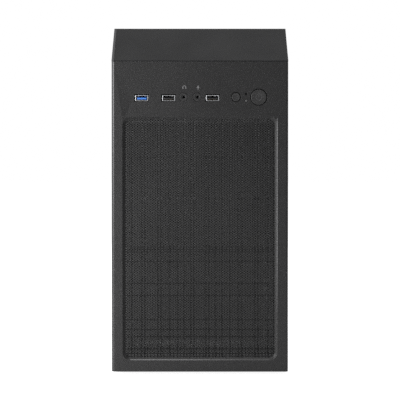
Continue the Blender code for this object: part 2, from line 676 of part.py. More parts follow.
def memory_modules():
    for number, y in enumerate(MEMORY_Y, 1):
        face = BOARD_FACE - SHEET - GAP
        low = (face - MEMORY_SIZE[0], y - MEMORY_SIZE[1] / 2, MEMORY_Z)
        finish(box("module", low, (face, y + MEMORY_SIZE[1] / 2, MEMORY_Z + MEMORY_SIZE[2])),
               f"memory_module_{number}", "board_green")


def comb(name, base_low, base_high, fins, fin_height):
    """A heatsink pressed as one comb: a base and fins towards -X, carried along Z."""
    low_y, high_y = base_low[1], base_high[1]
    root = base_low[0]
    tip = root - fin_height
    pitch = (high_y - low_y) / fins
    points = [(base_high[0], low_y), (base_high[0], high_y)]
    for fin in reversed(range(fins)):
        start = low_y + fin * pitch + (pitch * 0.55 if fin < fins - 1 else pitch * 0.45)
        edge = high_y if fin == fins - 1 else start
        points += [(tip, edge), (tip, low_y + fin * pitch)]
        if fin:
            points += [(root, low_y + fin * pitch), (root, low_y + (fin - 1) * pitch + pitch * 0.55)]
    return loft(name, [[(x, y, z) for x, y in points] for z in (base_low[2], base_high[2])])


def coolers():
    top = BOARD_FACE - GAP
    half = COOLER_SIZE / 2 - GAP
    base = 6 * MM
    finish(comb("cpu", (top - base, COOLER_Y - half, COOLER_Z - half), (top, COOLER_Y + half, COOLER_Z + half), 13,
                COOLER_HEIGHT - base), "cpu_heatsink", "aluminium")
    half = CHIPSET_SIZE / 2
    y, z = CHIPSET_PLACE
    finish(comb("chipset", (top - 3 * MM, y - half, z - half), (top, y + half, z + half), 7, 9 * MM),
           "chipset_heatsink", "aluminium")


def port_places():
    """Rear ports as (height of the middle, height, depth from the board)."""
    heights = ((146, 18, 28), (122, 17, 30), (98, 20, 14), (72, 17, 30), (49, 18, 30), (18, 26, 24))
    return [(SHIELD_BOTTOM + z * MM, height * MM, depth * MM) for z, height, depth in heights]


def rear_ports():
    centre_x, centre_z = shield_centre()
    face = BOARD_FACE - GAP
    body_rear = REAR_Y - SHEET - 3 * SHEET
    made = box("base", (face - 8 * MM, BOARD_REAR - 16 * MM, SHIELD_BOTTOM + 3 * MM),
               (face, body_rear - 2 * SHEET, SHIELD_BOTTOM + SHIELD_SIZE[1] - 5 * MM))
    back = REAR_Y - SHEET - GAP
    shield = box("rim", (centre_x - SHIELD_SIZE[0] / 2 - 2 * SHEET, back - SHEET, centre_z - SHIELD_SIZE[1] / 2 - SHEET),
                 (centre_x + SHIELD_SIZE[0] / 2 + SHEET, back, centre_z + SHIELD_SIZE[1] / 2 + SHEET))
    half_x, half_z = SHIELD_SIZE[0] / 2 - GAP, SHIELD_SIZE[1] / 2 - GAP
    join(shield, box("plate", (centre_x - half_x, back - SHEET / 2, centre_z - half_z),
                     (centre_x + half_x, REAR_Y, centre_z + half_z)))
    for z, height, width in port_places():
        low = (face - width, BOARD_REAR - 14 * MM, z - height / 2)
        high = (face - 2 * MM, REAR_Y + SHEET, z + height / 2)
        clearance = Vector((GAP, SHEET * 4, GAP))
        cut(shield, box("port", Vector(low) - clearance, Vector(high) + clearance))
        join(made, box("port", low, high))
        wall = 1.5 * MM
        cut(made, box("mouth", (low[0] + wall, high[1] - 8 * MM, low[2] + wall),
                      (high[0] - wall, high[1] + SHEET, high[2] - wall)))
    finish(made, "rear_port_block", "chrome_steel")
    finish(shield, "io_shield", "steel")


# fans


def spoke(centre, axis, start, end, depth_start, depth, width, angle):
    """A bar from one radius to another across a fan's mouth."""
    bm = bmesh.new()
    size = Vector((end - start, width, depth))
    place = Matrix.Translation(((start + end) / 2, 0, depth_start + depth / 2)) @ Matrix.Diagonal((*size, 1))
    bmesh.ops.create_cube(bm, size=1, matrix=place)
    turn = Matrix.Translation(centre) @ turn_to(axis) @ Matrix.Rotation(angle, 4, "Z")
    bmesh.ops.transform(bm, matrix=turn, verts=bm.verts)
    return object_from(bm, "spoke")


def fan_frame(name, centre, axis, side, depth, bore, material="fan_plastic"):
    """A square frame whose bars and motor plate are at its far end along axis, counted from centre."""
    bm = bmesh.new()
    place = Matrix.Translation((0, 0, depth / 2)) @ Matrix.Diagonal((side, side, depth, 1))
    bmesh.ops.create_cube(bm, size=1, matrix=place)
    bmesh.ops.transform(bm, matrix=Matrix.Translation(centre) @ turn_to(axis), verts=bm.verts)
    made = object_from(bm, name)
    hub = side / 2 * HUB_RATIO
    axis = Vector(axis)
    cut(made, cylinder("bore", Vector(centre) - axis * SHEET, axis, depth + 2 * SHEET, bore, sides=48))
    bar = MOTOR_PLATE
    star = cylinder("motor_plate", Vector(centre) + axis * (depth - bar), axis, bar, hub, sides=24)
    for arm in range(4):
        join(star, spoke(centre, axis, hub / 2, bore + SHEET, depth - bar * 0.9, bar * 0.8, 4 * MM,
                         (arm + 0.5) * math.pi / 2))
    join(made, star)
    finish(made, name, material)


def fan_rotor(name, centre, axis, side, depth, bore, blades=7):
    """A hub with swept blades, turned a little from one end to the other."""
    hub = side / 2 * HUB_RATIO
    tip = bore - BLADE_GAP
    start, end = SHEET, depth - MOTOR_PLATE - 0.5 * MM
    rings = []
    levels = 3
    for level in range(levels + 1):
        part = level / levels
        points = []
        for blade in range(blades):
            root = (blade + part * 0.5) * 2 * math.pi / blades
            width = BLADE_ANGLE
            radii = [hub, (hub + tip) / 2, tip]
            lean = [0, BLADE_SWEEP * 0.4, BLADE_SWEEP]
            rise = [(r, root + s - width / 2) for r, s in zip(radii, lean)]
            fall = [(r, root + s + width / 2) for r, s in zip(reversed(radii), reversed(lean))]
            next_root = root + 2 * math.pi / blades
            rest = [(hub, root + width / 2 + (next_root - root - width) * k / 3) for k in (1, 2)]
            points += rise + fall + rest
        z = start + (end - start) * part
        rings.append([(r * math.cos(a), r * math.sin(a), z) for r, a in points])
    made = loft(name, rings)
    made.data.transform(Matrix.Translation(centre) @ turn_to(axis))
    finish(made, name, "fan_plastic", centre)


def fans():
    depth = FRONT_FAN[1]
    front = (0, FRAME_Y - GAP - depth, FRONT_FAN_Z)
    fan_frame("front_fan_frame", front, (0, 1, 0), *FRONT_FAN)
    fan_rotor("front_fan_rotor", front, (0, 1, 0), *FRONT_FAN)
    rear = (REAR_FAN_PLACE[0], REAR_Y - SHEET - GAP, REAR_FAN_PLACE[1])
    fan_frame("rear_fan_frame", rear, (0, -1, 0), *REAR_FAN)
    fan_rotor("rear_fan_rotor", rear, (0, -1, 0), *REAR_FAN)
    cooler = (BOARD_FACE - GAP - COOLER_HEIGHT - GAP - COOLER_FAN_DEPTH, COOLER_Y, COOLER_Z)
    sizes = (COOLER_SIZE, COOLER_FAN_DEPTH, COOLER_SIZE / 2 - 3 * MM)
    fan_frame("cpu_fan_frame", cooler, (1, 0, 0), *sizes)
    fan_rotor("cpu_fan_rotor", cooler, (1, 0, 0), *sizes)


# power supply


def power_supply():
    low, high = supply_span()
    wall = Vector((SHEET, SHEET, SHEET))
    case = box("case", low, high)
    cut(case, box("hollow", low + wall, high - wall))
    middle = Vector(((low.x + high.x) / 2, (low.y + high.y) / 2, low.z))
    cut(case, cylinder("fan_hole", middle - Vector((0, 0, SHEET)), (0, 0, 1), 3 * SHEET, SUPPLY_FAN_RADIUS, sides=48))
    for (x, z), (wide, tall) in ((INLET_PLACE, INLET_SIZE), (ROCKER_PLACE, ROCKER_SIZE)):
        half = Vector((wide / 2 + GAP, 0, tall / 2 + GAP))
        centre = Vector((x, high.y, z))
        cut(case, box("hole", centre - half - Vector((0, 2 * SHEET, 0)), centre + half + Vector((0, SHEET, 0))))
    hexagon_holes(case, (SUPPLY_X - 24 * MM, low.z + SUPPLY_SIZE[2] / 2), 38 * MM, 16 * MM, 13 * MM, high.y - SHEET, high.y)
    cut(case, box("harness_hole", (SUPPLY_X + 40 * MM, low.y - SHEET, low.z + 12 * MM),
                  (SUPPLY_X + 62 * MM, low.y + 2 * SHEET, low.z + 30 * MM)))
    finish(case, "psu_case", "black_paint")

    hub = SUPPLY_FAN_RADIUS * HUB_RATIO
    base = middle + Vector((0, 0, SHEET + GAP))
    grille = cylinder("motor_plate", base, (0, 0, 1), 2 * MM, hub, sides=24)
    for arm in range(4):
        join(grille, spoke(base, (0, 0, 1), hub / 2, SUPPLY_FAN_RADIUS + 4 * MM, 0.2 * MM, 1.6 * MM, 4 * MM,
                           (arm + 0.5) * math.pi / 2))
    ring = cylinder("ring", base, (0, 0, 1), 2 * MM, SUPPLY_FAN_RADIUS * 0.72, sides=32)
    cut(ring, cylinder("inside", base - Vector((0, 0, SHEET)), (0, 0, 1), 5 * MM, SUPPLY_FAN_RADIUS * 0.72 - 2 * MM, sides=32))
    join(grille, ring)
    finish(grille, "psu_fan_guard", "fan_plastic")

    depth = SUPPLY_FAN_DEPTH
    top = base + Vector((0, 0, 2 * MM + depth))
    fan_rotor("psu_fan_rotor", top, (0, 0, -1), 2 * SUPPLY_FAN_RADIUS, depth + MOTOR_PLATE, SUPPLY_FAN_RADIUS)

    card_z = high.z - SHEET - 6 * MM
    inset = 6 * MM
    card = box("card", (low.x + inset, low.y + inset, card_z), (high.x - inset, high.y - INLET_DEPTH - inset, card_z + 2 * MM))
    blocks = (((-50, -40), (14, 60), 34), ((-22, -30), (36, 34), 30), ((30, -36), (12, 56), 34), ((0, 20), (20, 20), 24))
    for (x, y), (size_x, size_y), drop in blocks:
        corner = Vector((middle.x + x * MM, middle.y + y * MM - 10 * MM, card_z - drop * MM))
        join(card, box("block", corner, corner + Vector((size_x * MM, size_y * MM, drop * MM + SHEET))))
    for x in (-60, 55):
        post = Vector((middle.x + x * MM, middle.y, card_z + SHEET))
        join(card, cylinder("post", post, (0, 0, 1), high.z - SHEET - GAP - card_z - SHEET, 3 * MM, sides=8))
    finish(card, "psu_board", "board_green")


def mains_inlet():
    x, z = INLET_PLACE
    rear = supply_span()[1].y
    half_x, half_z = INLET_SIZE[0] / 2, INLET_SIZE[1] / 2
    made = box("inlet", (x - half_x, rear - INLET_DEPTH, z - half_z), (x + half_x, rear, z + half_z))
    wall = 3 * MM
    cut(made, box("cavity", (x - half_x + wall, rear - INLET_DEPTH + wall, z - half_z + wall),
                  (x + half_x - wall, rear + SHEET, z + half_z - wall)))
    for pin_x, pin_z in ((-7, -2), (0, 3), (7, -2)):
        pin = Vector((x + pin_x * MM, 0, z + pin_z * MM))
        join(made, box("pin", (pin.x - MM, rear - INLET_DEPTH + MM, pin.z - 2 * MM), (pin.x + MM, rear - 7 * MM, pin.z + 2 * MM)))
    finish(made, "psu_inlet", "fan_plastic")


def rocker_switch():
    x, z = ROCKER_PLACE
    rear = supply_span()[1].y
    half_x, half_z = ROCKER_SIZE[0] / 2, ROCKER_SIZE[1] / 2
    frame = box("frame", (x - half_x, rear - 12 * MM, z - half_z), (x + half_x, rear + 0.4 * MM, z + half_z))
    wall = 1.5 * MM
    cut(frame, box("mouth", (x - half_x + wall, rear - 9 * MM, z - half_z + wall),
                   (x + half_x - wall, rear + SHEET, z + half_z - wall)))
    finish(frame, "psu_switch_frame", "fan_plastic")
    inner_x, inner_z = half_x - wall - GAP, half_z - wall - GAP
    pivot = (x, rear - 3 * MM, z)
    points = [(rear - 6 * MM, z - inner_z * 0.5), (rear - 6 * MM, z + inner_z * 0.5), (rear - 2 * MM, z + inner_z * 0.92),
              (rear + 1.6 * MM, z + inner_z * 0.85), (rear - 0.4 * MM, z), (rear + 1.6 * MM, z - inner_z * 0.85),
              (rear - 2 * MM, z - inner_z * 0.92)]
    rocker = loft("rocker", [[(px, y, pz) for y, pz in points] for px in (x - inner_x, x + inner_x)])
    finish(rocker, "psu_rocker", "fan_plastic", pivot)


# drives and leads


def drives():
    half = DRIVE_SIZE[0] / 2 + CAGE_CLEARANCE
    low = BASE_Z + SHEET + GAP
    top = low + CAGE_HEIGHT
    front = FRAME_Y + SHEET + GAP
    points = [(half, low), (half + FLANGE, low), (half + FLANGE, low + SHEET), (half + SHEET, low + SHEET), (half + SHEET, top)]
    outline = points + [(-x, z) for x, z in reversed(points)] + [(-half, top - SHEET), (half, top - SHEET)]
    cage = outline_along_y("drive_cage", [(x + DRIVE_X, z) for x, z in outline], front, front + CAGE_LENGTH)
    drive_z = low + 8 * MM
    for side in (-1, 1):
        for shelf in (drive_z, drive_z + 32 * MM):
            xs = sorted((DRIVE_X + side * (half + SHEET / 2), DRIVE_X + side * (half - 6 * MM)))
            join(cage, box("shelf", (xs[0], front + 10 * MM, shelf - SHEET), (xs[1], front + CAGE_LENGTH - 10 * MM, shelf)))
    finish(cage, "drive_cage", "steel")
    corner = Vector((DRIVE_X - DRIVE_SIZE[0] / 2, DRIVE_FRONT, drive_z + GAP))
    finish(box("drive", corner, corner + Vector(DRIVE_SIZE)), "hard_drive", "aluminium")


def leads():
    low, high = supply_span()
    socket_y = BOARD_REAR - BOARD_DEPTH + 7 * MM
    face = BOARD_FACE - 12 * MM - GAP
    route = [(SUPPLY_X + 50 * MM, low.y + 4 * MM, low.z + 21 * MM), (SUPPLY_X + 50 * MM, low.y - 16 * MM, low.z + 19 * MM),
             (SUPPLY_X + 44 * MM, low.y - 40 * MM, low.z - 8 * MM), (face - 28 * MM, socket_y - 4 * MM, 222 * MM),
             (face - 20 * MM, socket_y, 194 * MM), (face - 8 * MM, socket_y, 186 * MM), (face, socket_y, 186 * MM)]
    finish(tube("psu_harness", route, 5 * MM), "psu_harness", "cable_sleeve")
    board_front = BOARD_REAR - BOARD_DEPTH
    front = FRAME_Y + SHEET
    route = [(BOARD_FACE - 2 * GAP, board_front + 8 * MM, 26 * MM), (BOARD_FACE - 8 * MM, board_front + 8 * MM, 26 * MM),
             (60 * MM, board_front - 16 * MM, 34 * MM), (70 * MM, front + 30 * MM, 60 * MM), (70 * MM, front + 18 * MM, 120 * MM),
             (70 * MM, front + 14 * MM, 200 * MM), (66 * MM, front + 12 * MM, 262 * MM), (50 * MM, front + 8 * MM, 284 * MM),
             (44 * MM, front - 6 * MM, 286 * MM)]
    finish(tube("front_panel_lead", route, 2 * MM), "front_panel_lead", "cable_sleeve")


def build():
    global parts
    clear_scene()
    parts = bpy.data.collections.new("desktop_computer_tower")
    bpy.context.scene.collection.children.link(parts)
    make_materials()
    front_bezel()
    bezel_top_cap()
    mesh_and_filter()
    port_board()
    usb_ports()
    audio_jacks()
    light_pipes()
    buttons()
    top_cover()
    chassis_base()
    front_frame()
    rear_panel()
    slot_covers()
    side_panels()
    feet()
    motherboard_tray()
    motherboard()
    memory_modules()
    coolers()
    rear_ports()
    fans()
    power_supply()
    mains_inlet()
    rocker_switch()
    drives()
    leads()


build()
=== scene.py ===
import json
import math
import bpy
import bmesh
import numpy as np
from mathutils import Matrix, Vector

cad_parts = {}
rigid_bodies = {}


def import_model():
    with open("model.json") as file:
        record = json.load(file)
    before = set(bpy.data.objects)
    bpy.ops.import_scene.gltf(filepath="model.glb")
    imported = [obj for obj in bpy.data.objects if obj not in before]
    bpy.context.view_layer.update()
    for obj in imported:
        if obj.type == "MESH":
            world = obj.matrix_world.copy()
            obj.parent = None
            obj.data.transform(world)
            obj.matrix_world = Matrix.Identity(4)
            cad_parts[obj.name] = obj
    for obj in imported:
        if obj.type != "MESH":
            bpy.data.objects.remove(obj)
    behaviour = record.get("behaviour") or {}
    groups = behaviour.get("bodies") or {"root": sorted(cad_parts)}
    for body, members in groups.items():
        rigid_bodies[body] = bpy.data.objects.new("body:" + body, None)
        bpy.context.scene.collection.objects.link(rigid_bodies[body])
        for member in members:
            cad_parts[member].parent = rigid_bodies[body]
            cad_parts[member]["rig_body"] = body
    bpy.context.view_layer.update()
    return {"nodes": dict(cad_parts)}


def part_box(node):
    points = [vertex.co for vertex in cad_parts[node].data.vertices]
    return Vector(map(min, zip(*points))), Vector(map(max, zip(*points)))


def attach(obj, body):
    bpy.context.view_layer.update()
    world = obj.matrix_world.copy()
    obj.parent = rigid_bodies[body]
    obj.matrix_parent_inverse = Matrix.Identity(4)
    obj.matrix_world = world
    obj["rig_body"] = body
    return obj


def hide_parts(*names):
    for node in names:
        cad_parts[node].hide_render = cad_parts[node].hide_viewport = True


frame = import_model()
print("frame loaded,", len(frame["nodes"]), "nodes")

millimetre = 0.001
seed = np.random.default_rng(41)


# camera, light and floor
stageSettings = dict(
    lens=114.8,
    cameraPlace=(0.0001, -1.475, 0.2003),
    cameraAim=(0.0001, -0.175, 0.17845),
    floorSide=60.0,
    backdrop=1.0,
    floorGlow=0.92,
    fill=0.19,
    keyPower=8.0,
    nearPower=3.9,
    sidePower=12.0,
    topPower=10.0,
    rightPower=1.2,
)


def makeCamera(s):
    camera = bpy.data.objects.new("studioCamera", bpy.data.cameras.new("studioCamera"))
    camera.data.lens = s["lens"]
    camera.data.sensor_width = 36.0
    camera.data.clip_start, camera.data.clip_end = 0.05, 200.0
    camera.location = s["cameraPlace"]
    aim = Vector(s["cameraAim"]) - Vector(s["cameraPlace"])
    camera.rotation_euler = aim.to_track_quat("-Z", "Y").to_euler()
    bpy.context.scene.collection.objects.link(camera)
    bpy.context.scene.camera = camera


def softBox(name, place, aim, width, height, power):
    lamp = bpy.data.lights.new(name, "AREA")
    lamp.shape = "RECTANGLE"
    lamp.size, lamp.size_y = width, height
    lamp.energy = power
    lampObject = bpy.data.objects.new(name, lamp)
    lampObject.location = place
    lampObject.rotation_euler = (Vector(aim) - Vector(place)).to_track_quat("-Z", "Y").to_euler()
    bpy.context.scene.collection.objects.link(lampObject)
    lampObject.visible_camera = False
    return lampObject


makeCamera(stageSettings)
softBox("keySoftBox", (-1.05, -1.35, 1.2), (0, -0.15, 0.18), 0.6, 0.6, stageSettings["keyPower"])
softBox("nearSoftBox", (-0.52, -0.62, 0.2), (0.0, -0.15, 0.18), 0.4, 0.4, stageSettings["nearPower"])
softBox("sideSoftBox", (-1.5, -0.22, 0.75), (0, -0.1, 0.2), 1.4, 1.0, stageSettings["sidePower"])
softBox("topSoftBox", (0, -0.1, 1.7), (0, 0, 0.3), 1.3, 1.3, stageSettings["topPower"])
softBox("rightSoftBox", (1.6, -0.6, 0.8), (0, -0.1, 0.2), 0.7, 0.9, stageSettings["rightPower"])
softBox("backSoftBox", (0.0, 2.2, 0.9), (0, 0.17, 0.15), 0.8, 0.3, 6.0)


# shader maths: a wire is a socket that does its own sums
class Wire:
    def __init__(self, paint, socket):
        self.paint, self.socket = paint, socket

    def sum(self, operation, first, second=None, third=None):
        values = {i: v for i, v in enumerate((first, second, third)) if v is not None}
        return self.paint.node("ShaderNodeMath", {"operation": operation}, values)

    def __add__(self, other): return self.sum("ADD", self, other)
    def __radd__(self, other): return self.sum("ADD", other, self)
    def __sub__(self, other): return self.sum("SUBTRACT", self, other)
    def __rsub__(self, other): return self.sum("SUBTRACT", other, self)
    def __mul__(self, other): return self.sum("MULTIPLY", self, other)
    def __rmul__(self, other): return self.sum("MULTIPLY", other, self)
    def __pow__(self, other): return self.sum("POWER", self, other)
    def __lt__(self, other): return self.sum("LESS_THAN", self, other)
    def __gt__(self, other): return self.sum("GREATER_THAN", self, other)
    def __abs__(self): return self.sum("ABSOLUTE", self)
    def most(self, other): return self.sum("MAXIMUM", self, other)
    def root(self): return self.sum("SQRT", self)
    def sine(self): return self.sum("SINE", self)

    def step(self, low, high, outLow=0.0, outHigh=1.0):  # smooth step from low to high
        return self.paint.node("ShaderNodeMapRange", {"interpolation_type": "SMOOTHSTEP"},
                               {0: self, 1: low, 2: high, 3: outLow, 4: outHigh})


class Paint:
    def __init__(self, name, colour, roughness, **sockets):
        self.material = bpy.data.materials.new(name)
        self.material.use_nodes = True
        self.tree = self.material.node_tree
        self.surface = self.tree.nodes["Principled BSDF"]
        self.surface.inputs["Base Color"].default_value = (*colour, 1.0)
        self.surface.inputs["Roughness"].default_value = roughness
        for key, value in sockets.items():
            self.surface.inputs[key.replace("_", " ")].default_value = value
        self.colour = colour
        self.placeWire = None

    def node(self, kind, settings=None, values=None, out=0):
        node = self.tree.nodes.new(kind)
        for key, value in (settings or {}).items():
            if key == "stops":
                while len(node.color_ramp.elements) < len(value):
                    node.color_ramp.elements.new(0.5)
                for element, (place, tone) in zip(node.color_ramp.elements, value):
                    element.position, element.color = place, tone
            else:
                setattr(node, key, value)
        for key, value in (values or {}).items():
            if isinstance(value, Wire):
                self.tree.links.new(value.socket, node.inputs[key])
            else:
                node.inputs[key].default_value = value
        return Wire(self, node.outputs[out])

    def place(self):
        if self.placeWire is None:
            self.placeWire = self.node("ShaderNodeTexCoord", out="Object")
        return self.placeWire

    def axes(self):
        split = self.node("ShaderNodeSeparateXYZ", {}, {0: self.place()})
        return [Wire(self, o) for o in split.socket.node.outputs]

    def stretched(self, scale, turn=(0, 0, 0)):
        return self.node("ShaderNodeMapping", {}, {"Vector": self.place(), "Scale": scale, "Rotation": turn})

    def noise(self, scale, detail=2.0, rough=0.5, where=None):
        return self.node("ShaderNodeTexNoise", {"noise_dimensions": "3D"},
                         {"Vector": where or self.place(), "Scale": scale, "Detail": detail, "Roughness": rough})

    def cells(self, scale, feature="F1", where=None, out="Distance"):
        return self.node("ShaderNodeTexVoronoi", {"feature": feature},
                         {"Vector": where or self.place(), "Scale": scale}, out)

    def mix(self, factor, first, second):
        tones = [(*c, 1.0) if isinstance(c, tuple) and len(c) == 3 else c for c in (first, second)]
        return self.node("ShaderNodeMix", {"data_type": "RGBA"}, {0: factor, 6: tones[0], 7: tones[1]}, 2)

    def feed(self, socket, wire):
        self.tree.links.new(wire.socket, self.surface.inputs[socket])
        return self

    def bump(self, height, distance, strength=1.0, under=None):
        values = {"Height": height, "Distance": distance, "Strength": strength}
        if under is not None:
            values["Normal"] = under
        return self.node("ShaderNodeBump", {}, values)

    def done(self, bump=None):
        if bump is not None:
            self.feed("Normal", bump)
        return self.material


def scaled(colour, factor):
    return tuple(c * factor for c in colour)


# materials
def sparkPlastic(name, colour, roughness, grain, depth, mottle, specular=0.5, extra=None):
    # moulded plastic with a spark-eroded grain: fine cells, a coarser unevenness and handling marks
    p = Paint(name, colour, roughness, Specular_IOR_Level=specular)
    fine = p.noise(grain, 2.0, 0.6)
    coarse = p.noise(grain * 0.36, 3.0, 0.6)
    worn = p.noise(26.0, 3.0, 0.55)
    tone = fine * 0.55 + coarse * 0.45
    base = p.mix(tone.step(0.32, 0.68), scaled(colour, 1 - mottle), scaled(colour, 1 + mottle))
    if extra:
        base = extra(p, base)
    p.feed("Base Color", base)
    p.feed("Roughness", roughness + (worn - 0.5) * 0.14 + (fine - 0.5) * 0.12)
    return p.done(p.bump(tone, depth, 0.9))


def powderCoat(name, colour, roughness, lump=620.0, depth=0.00006, extra=None):
    # baked powder coat: orange peel, with a faint cloudiness and dust in the low spots
    p = Paint(name, colour, roughness, Specular_IOR_Level=0.5)
    peel = p.noise(lump, 2.0, 0.5)
    cloud = p.noise(9.0, 3.0, 0.6)
    dust = p.noise(1900.0, 1.0, 0.5)
    base = p.mix(cloud.step(0.35, 0.7) * 0.6 + dust.step(0.55, 0.75) * 0.4, scaled(colour, 0.86),
                 scaled(colour, 1.25))
    p.feed("Base Color", extra(p, base) if extra else base)
    p.feed("Roughness", roughness + (cloud - 0.5) * 0.16 + (peel - 0.5) * 0.1)
    return p.done(p.bump(peel, depth, 0.8))


def platedSteel(name, colour, roughness, along=(1, 1, 1), spangle=70.0):
    # zinc plated sheet: crystal flowers in the plating, rolling lines and light scratches
    p = Paint(name, colour, roughness, Metallic=1.0)
    flower = p.cells(spangle, "F1", out="Color")
    flowerTone = p.node("ShaderNodeSeparateXYZ", {}, {0: flower})
    lines = p.noise(240.0, 3.0, 0.6, p.stretched(tuple(0.06 if a == 0 else 1.0 for a in along)))
    stain = p.noise(14.0, 4.0, 0.6)
    p.feed("Base Color", p.mix(flowerTone * 0.5 + stain * 0.5, scaled(colour, 0.8), scaled(colour, 1.08)))
    p.feed("Roughness", roughness + (flowerTone - 0.5) * 0.14 + (lines - 0.5) * 0.22)
    return p.done(p.bump(lines, 0.00003, 0.5))


def plainMetal(name, colour, roughness, grain=900.0, depth=0.00001):
    # turned or drawn metal: fine lines, fingerprints and a slightly darker patina
    p = Paint(name, colour, roughness, Metallic=1.0)
    lines = p.noise(grain, 2.0, 0.6)
    stain = p.noise(60.0, 3.0, 0.6)
    p.feed("Base Color", p.mix(stain.step(0.3, 0.75), scaled(colour, 0.84), colour))
    p.feed("Roughness", roughness + (stain - 0.5) * 0.2 + (lines - 0.5) * 0.1)
    return p.done(p.bump(lines, depth, 0.5))


def softRubber(name, colour):
    p = Paint(name, colour, 0.78, Specular_IOR_Level=0.35)
    grain = p.noise(1500.0, 2.0, 0.6)
    dust = p.noise(160.0, 3.0, 0.6)
    p.feed("Base Color", p.mix(dust.step(0.45, 0.8), colour, scaled(colour, 1.7)))
    p.feed("Roughness", 0.74 + (grain - 0.5) * 0.2)
    return p.done(p.bump(grain, 0.00005, 0.6))


def smoothPlastic(name, colour, roughness, **sockets):
    # glossy or satin moulded plastic: flow marks and a trace of dust
    p = Paint(name, colour, roughness, **sockets)
    flow = p.noise(34.0, 2.0, 0.5, p.stretched((1.0, 1.0, 3.0)))
    dust = p.noise(2300.0, 1.0, 0.5)
    p.feed("Base Color", p.mix(flow.step(0.35, 0.7), scaled(colour, 0.9), scaled(colour, 1.08)))
    p.feed("Roughness", roughness + (flow - 0.5) * 0.1 + dust.step(0.6, 0.8) * 0.08)
    return p.done(p.bump(dust, 0.00001, 0.4))


# mesh building with whole arrays
def gridFaces(rows, columns, wrapRows=False, wrapColumns=False):
    # a grid of rows x columns points has a face between each pair of neighbouring rows and columns
    r, c = np.meshgrid(np.arange(rows - (not wrapRows)), np.arange(columns - (not wrapColumns)), indexing="ij")
    r2, c2 = (r + 1) % rows, (c + 1) % columns
    return np.stack([r * columns + c, r * columns + c2, r2 * columns + c2, r2 * columns + c], -1).reshape(-1, 4)


def together(shapes):
    # several (points, faces) as one
    points, faces, start = [], [], 0
    for p, f in shapes:
        points.append(np.asarray(p, float).reshape(-1, 3))
        faces += [np.asarray(block) + start for block in (f if isinstance(f, list) else [f])]
        start += len(points[-1])
    return np.concatenate(points), faces


def frameOf(axis):
    # two unit vectors across an axis, so that across x aside = axis
    axis = np.asarray(axis, float) / np.linalg.norm(axis)
    guide = np.array([0.0, 0, 1]) if abs(axis[2]) < 0.9 else np.array([1.0, 0, 0])
    across = np.cross(guide, axis)
    across /= np.linalg.norm(across)
    return across, np.cross(axis, across), axis


def turned(profile, origin, axis, sides=32):
    # profile rows are (distance along the axis, radius); each turns round the axis
    profile = np.asarray(profile, float)
    u, v, w = frameOf(axis)
    a = np.linspace(0, 2 * np.pi, sides, endpoint=False)
    ring = np.cos(a)[:, None] * u + np.sin(a)[:, None] * v
    points = np.asarray(origin) + profile[:, None, :1] * w + profile[:, None, 1:2] * ring[None]
    return points.reshape(-1, 3), gridFaces(len(profile), sides, wrapColumns=True)


def roundedOutline(halfWidth, halfHeight, radius, steps=4):
    # a rectangle's outline with quarter circles at its corners
    a = np.linspace(0, np.pi / 2, steps)
    corners = []
    for k, (sx, sy) in enumerate(((1, 1), (-1, 1), (-1, -1), (1, -1))):
        t = a + k * np.pi / 2
        corners.append(np.stack([sx * (halfWidth - radius) + radius * np.cos(t),
                                 sy * (halfHeight - radius) + radius * np.sin(t)], -1))
    return np.concatenate(corners)


def block(low, high, corner=0.4, edge=0.3, axis=2, steps=3):
    # a box in millimetres whose four long edges are rounded by corner and whose two ends are rounded by edge
    low, high = np.minimum(low, high), np.maximum(low, high)
    size, middle = (high - low) / 2, (high + low) / 2
    p, q = (axis + 1) % 3, (axis + 2) % 3
    corner = min(corner, size[p] * 0.98, size[q] * 0.98)
    edge = min(edge, size[axis] * 0.9, size[p] * 0.9, size[q] * 0.9)
    t = np.linspace(0, np.pi / 2, steps)
    inset = np.concatenate([[min(size[p], size[q])], edge * (1 - np.sin(t)), edge * (1 - np.sin(t[::-1])),
                            [min(size[p], size[q])]])
    height = np.concatenate([[-size[axis]], -size[axis] + edge * (1 - np.cos(t)),
                             size[axis] - edge * (1 - np.cos(t[::-1])), [size[axis]]])
    rings = []
    for i, h in zip(inset, height):
        last = i >= min(size[p], size[q])
        half = (size[p] - min(i, size[p]), size[q] - min(i, size[q]))
        outline = roundedOutline(*half, 0.0 if last else max(corner - i, corner * 0.2), steps)
        ring = np.zeros((len(outline), 3))
        ring[:, p], ring[:, q], ring[:, axis] = outline[:, 0], outline[:, 1], h
        rings.append(ring)
    points = (np.array(rings) + middle) * millimetre
    return points.reshape(-1, 3), gridFaces(len(rings), len(rings[0]), wrapColumns=True)


def smoothLine(points, steps=8):
    # a smooth curve through the points
    p = np.asarray(points, float)
    padded = np.concatenate([2 * p[:1] - p[1:2], p, 2 * p[-1:] - p[-2:-1]])
    t = np.linspace(0, 1, steps, endpoint=False)[:, None]
    runs = []
    for a, b, c, d in zip(padded[:-3], padded[1:-2], padded[2:-1], padded[3:]):
        runs.append(0.5 * (2 * b + (c - a) * t + (2 * a - 5 * b + 4 * c - d) * t ** 2
                           + (3 * b - a - 3 * c + d) * t ** 3))
    return np.concatenate(runs + [p[-1:]])


def tidyMesh(mesh, merge=1e-6):
    # doubles merged, flat slivers gone, faces turned outwards
    shape = bmesh.new()
    shape.from_mesh(mesh)
    bmesh.ops.remove_doubles(shape, verts=shape.verts, dist=merge)
    bmesh.ops.dissolve_degenerate(shape, edges=shape.edges, dist=merge)
    bmesh.ops.recalc_face_normals(shape, faces=shape.faces)
    shape.to_mesh(mesh)
    shape.free()


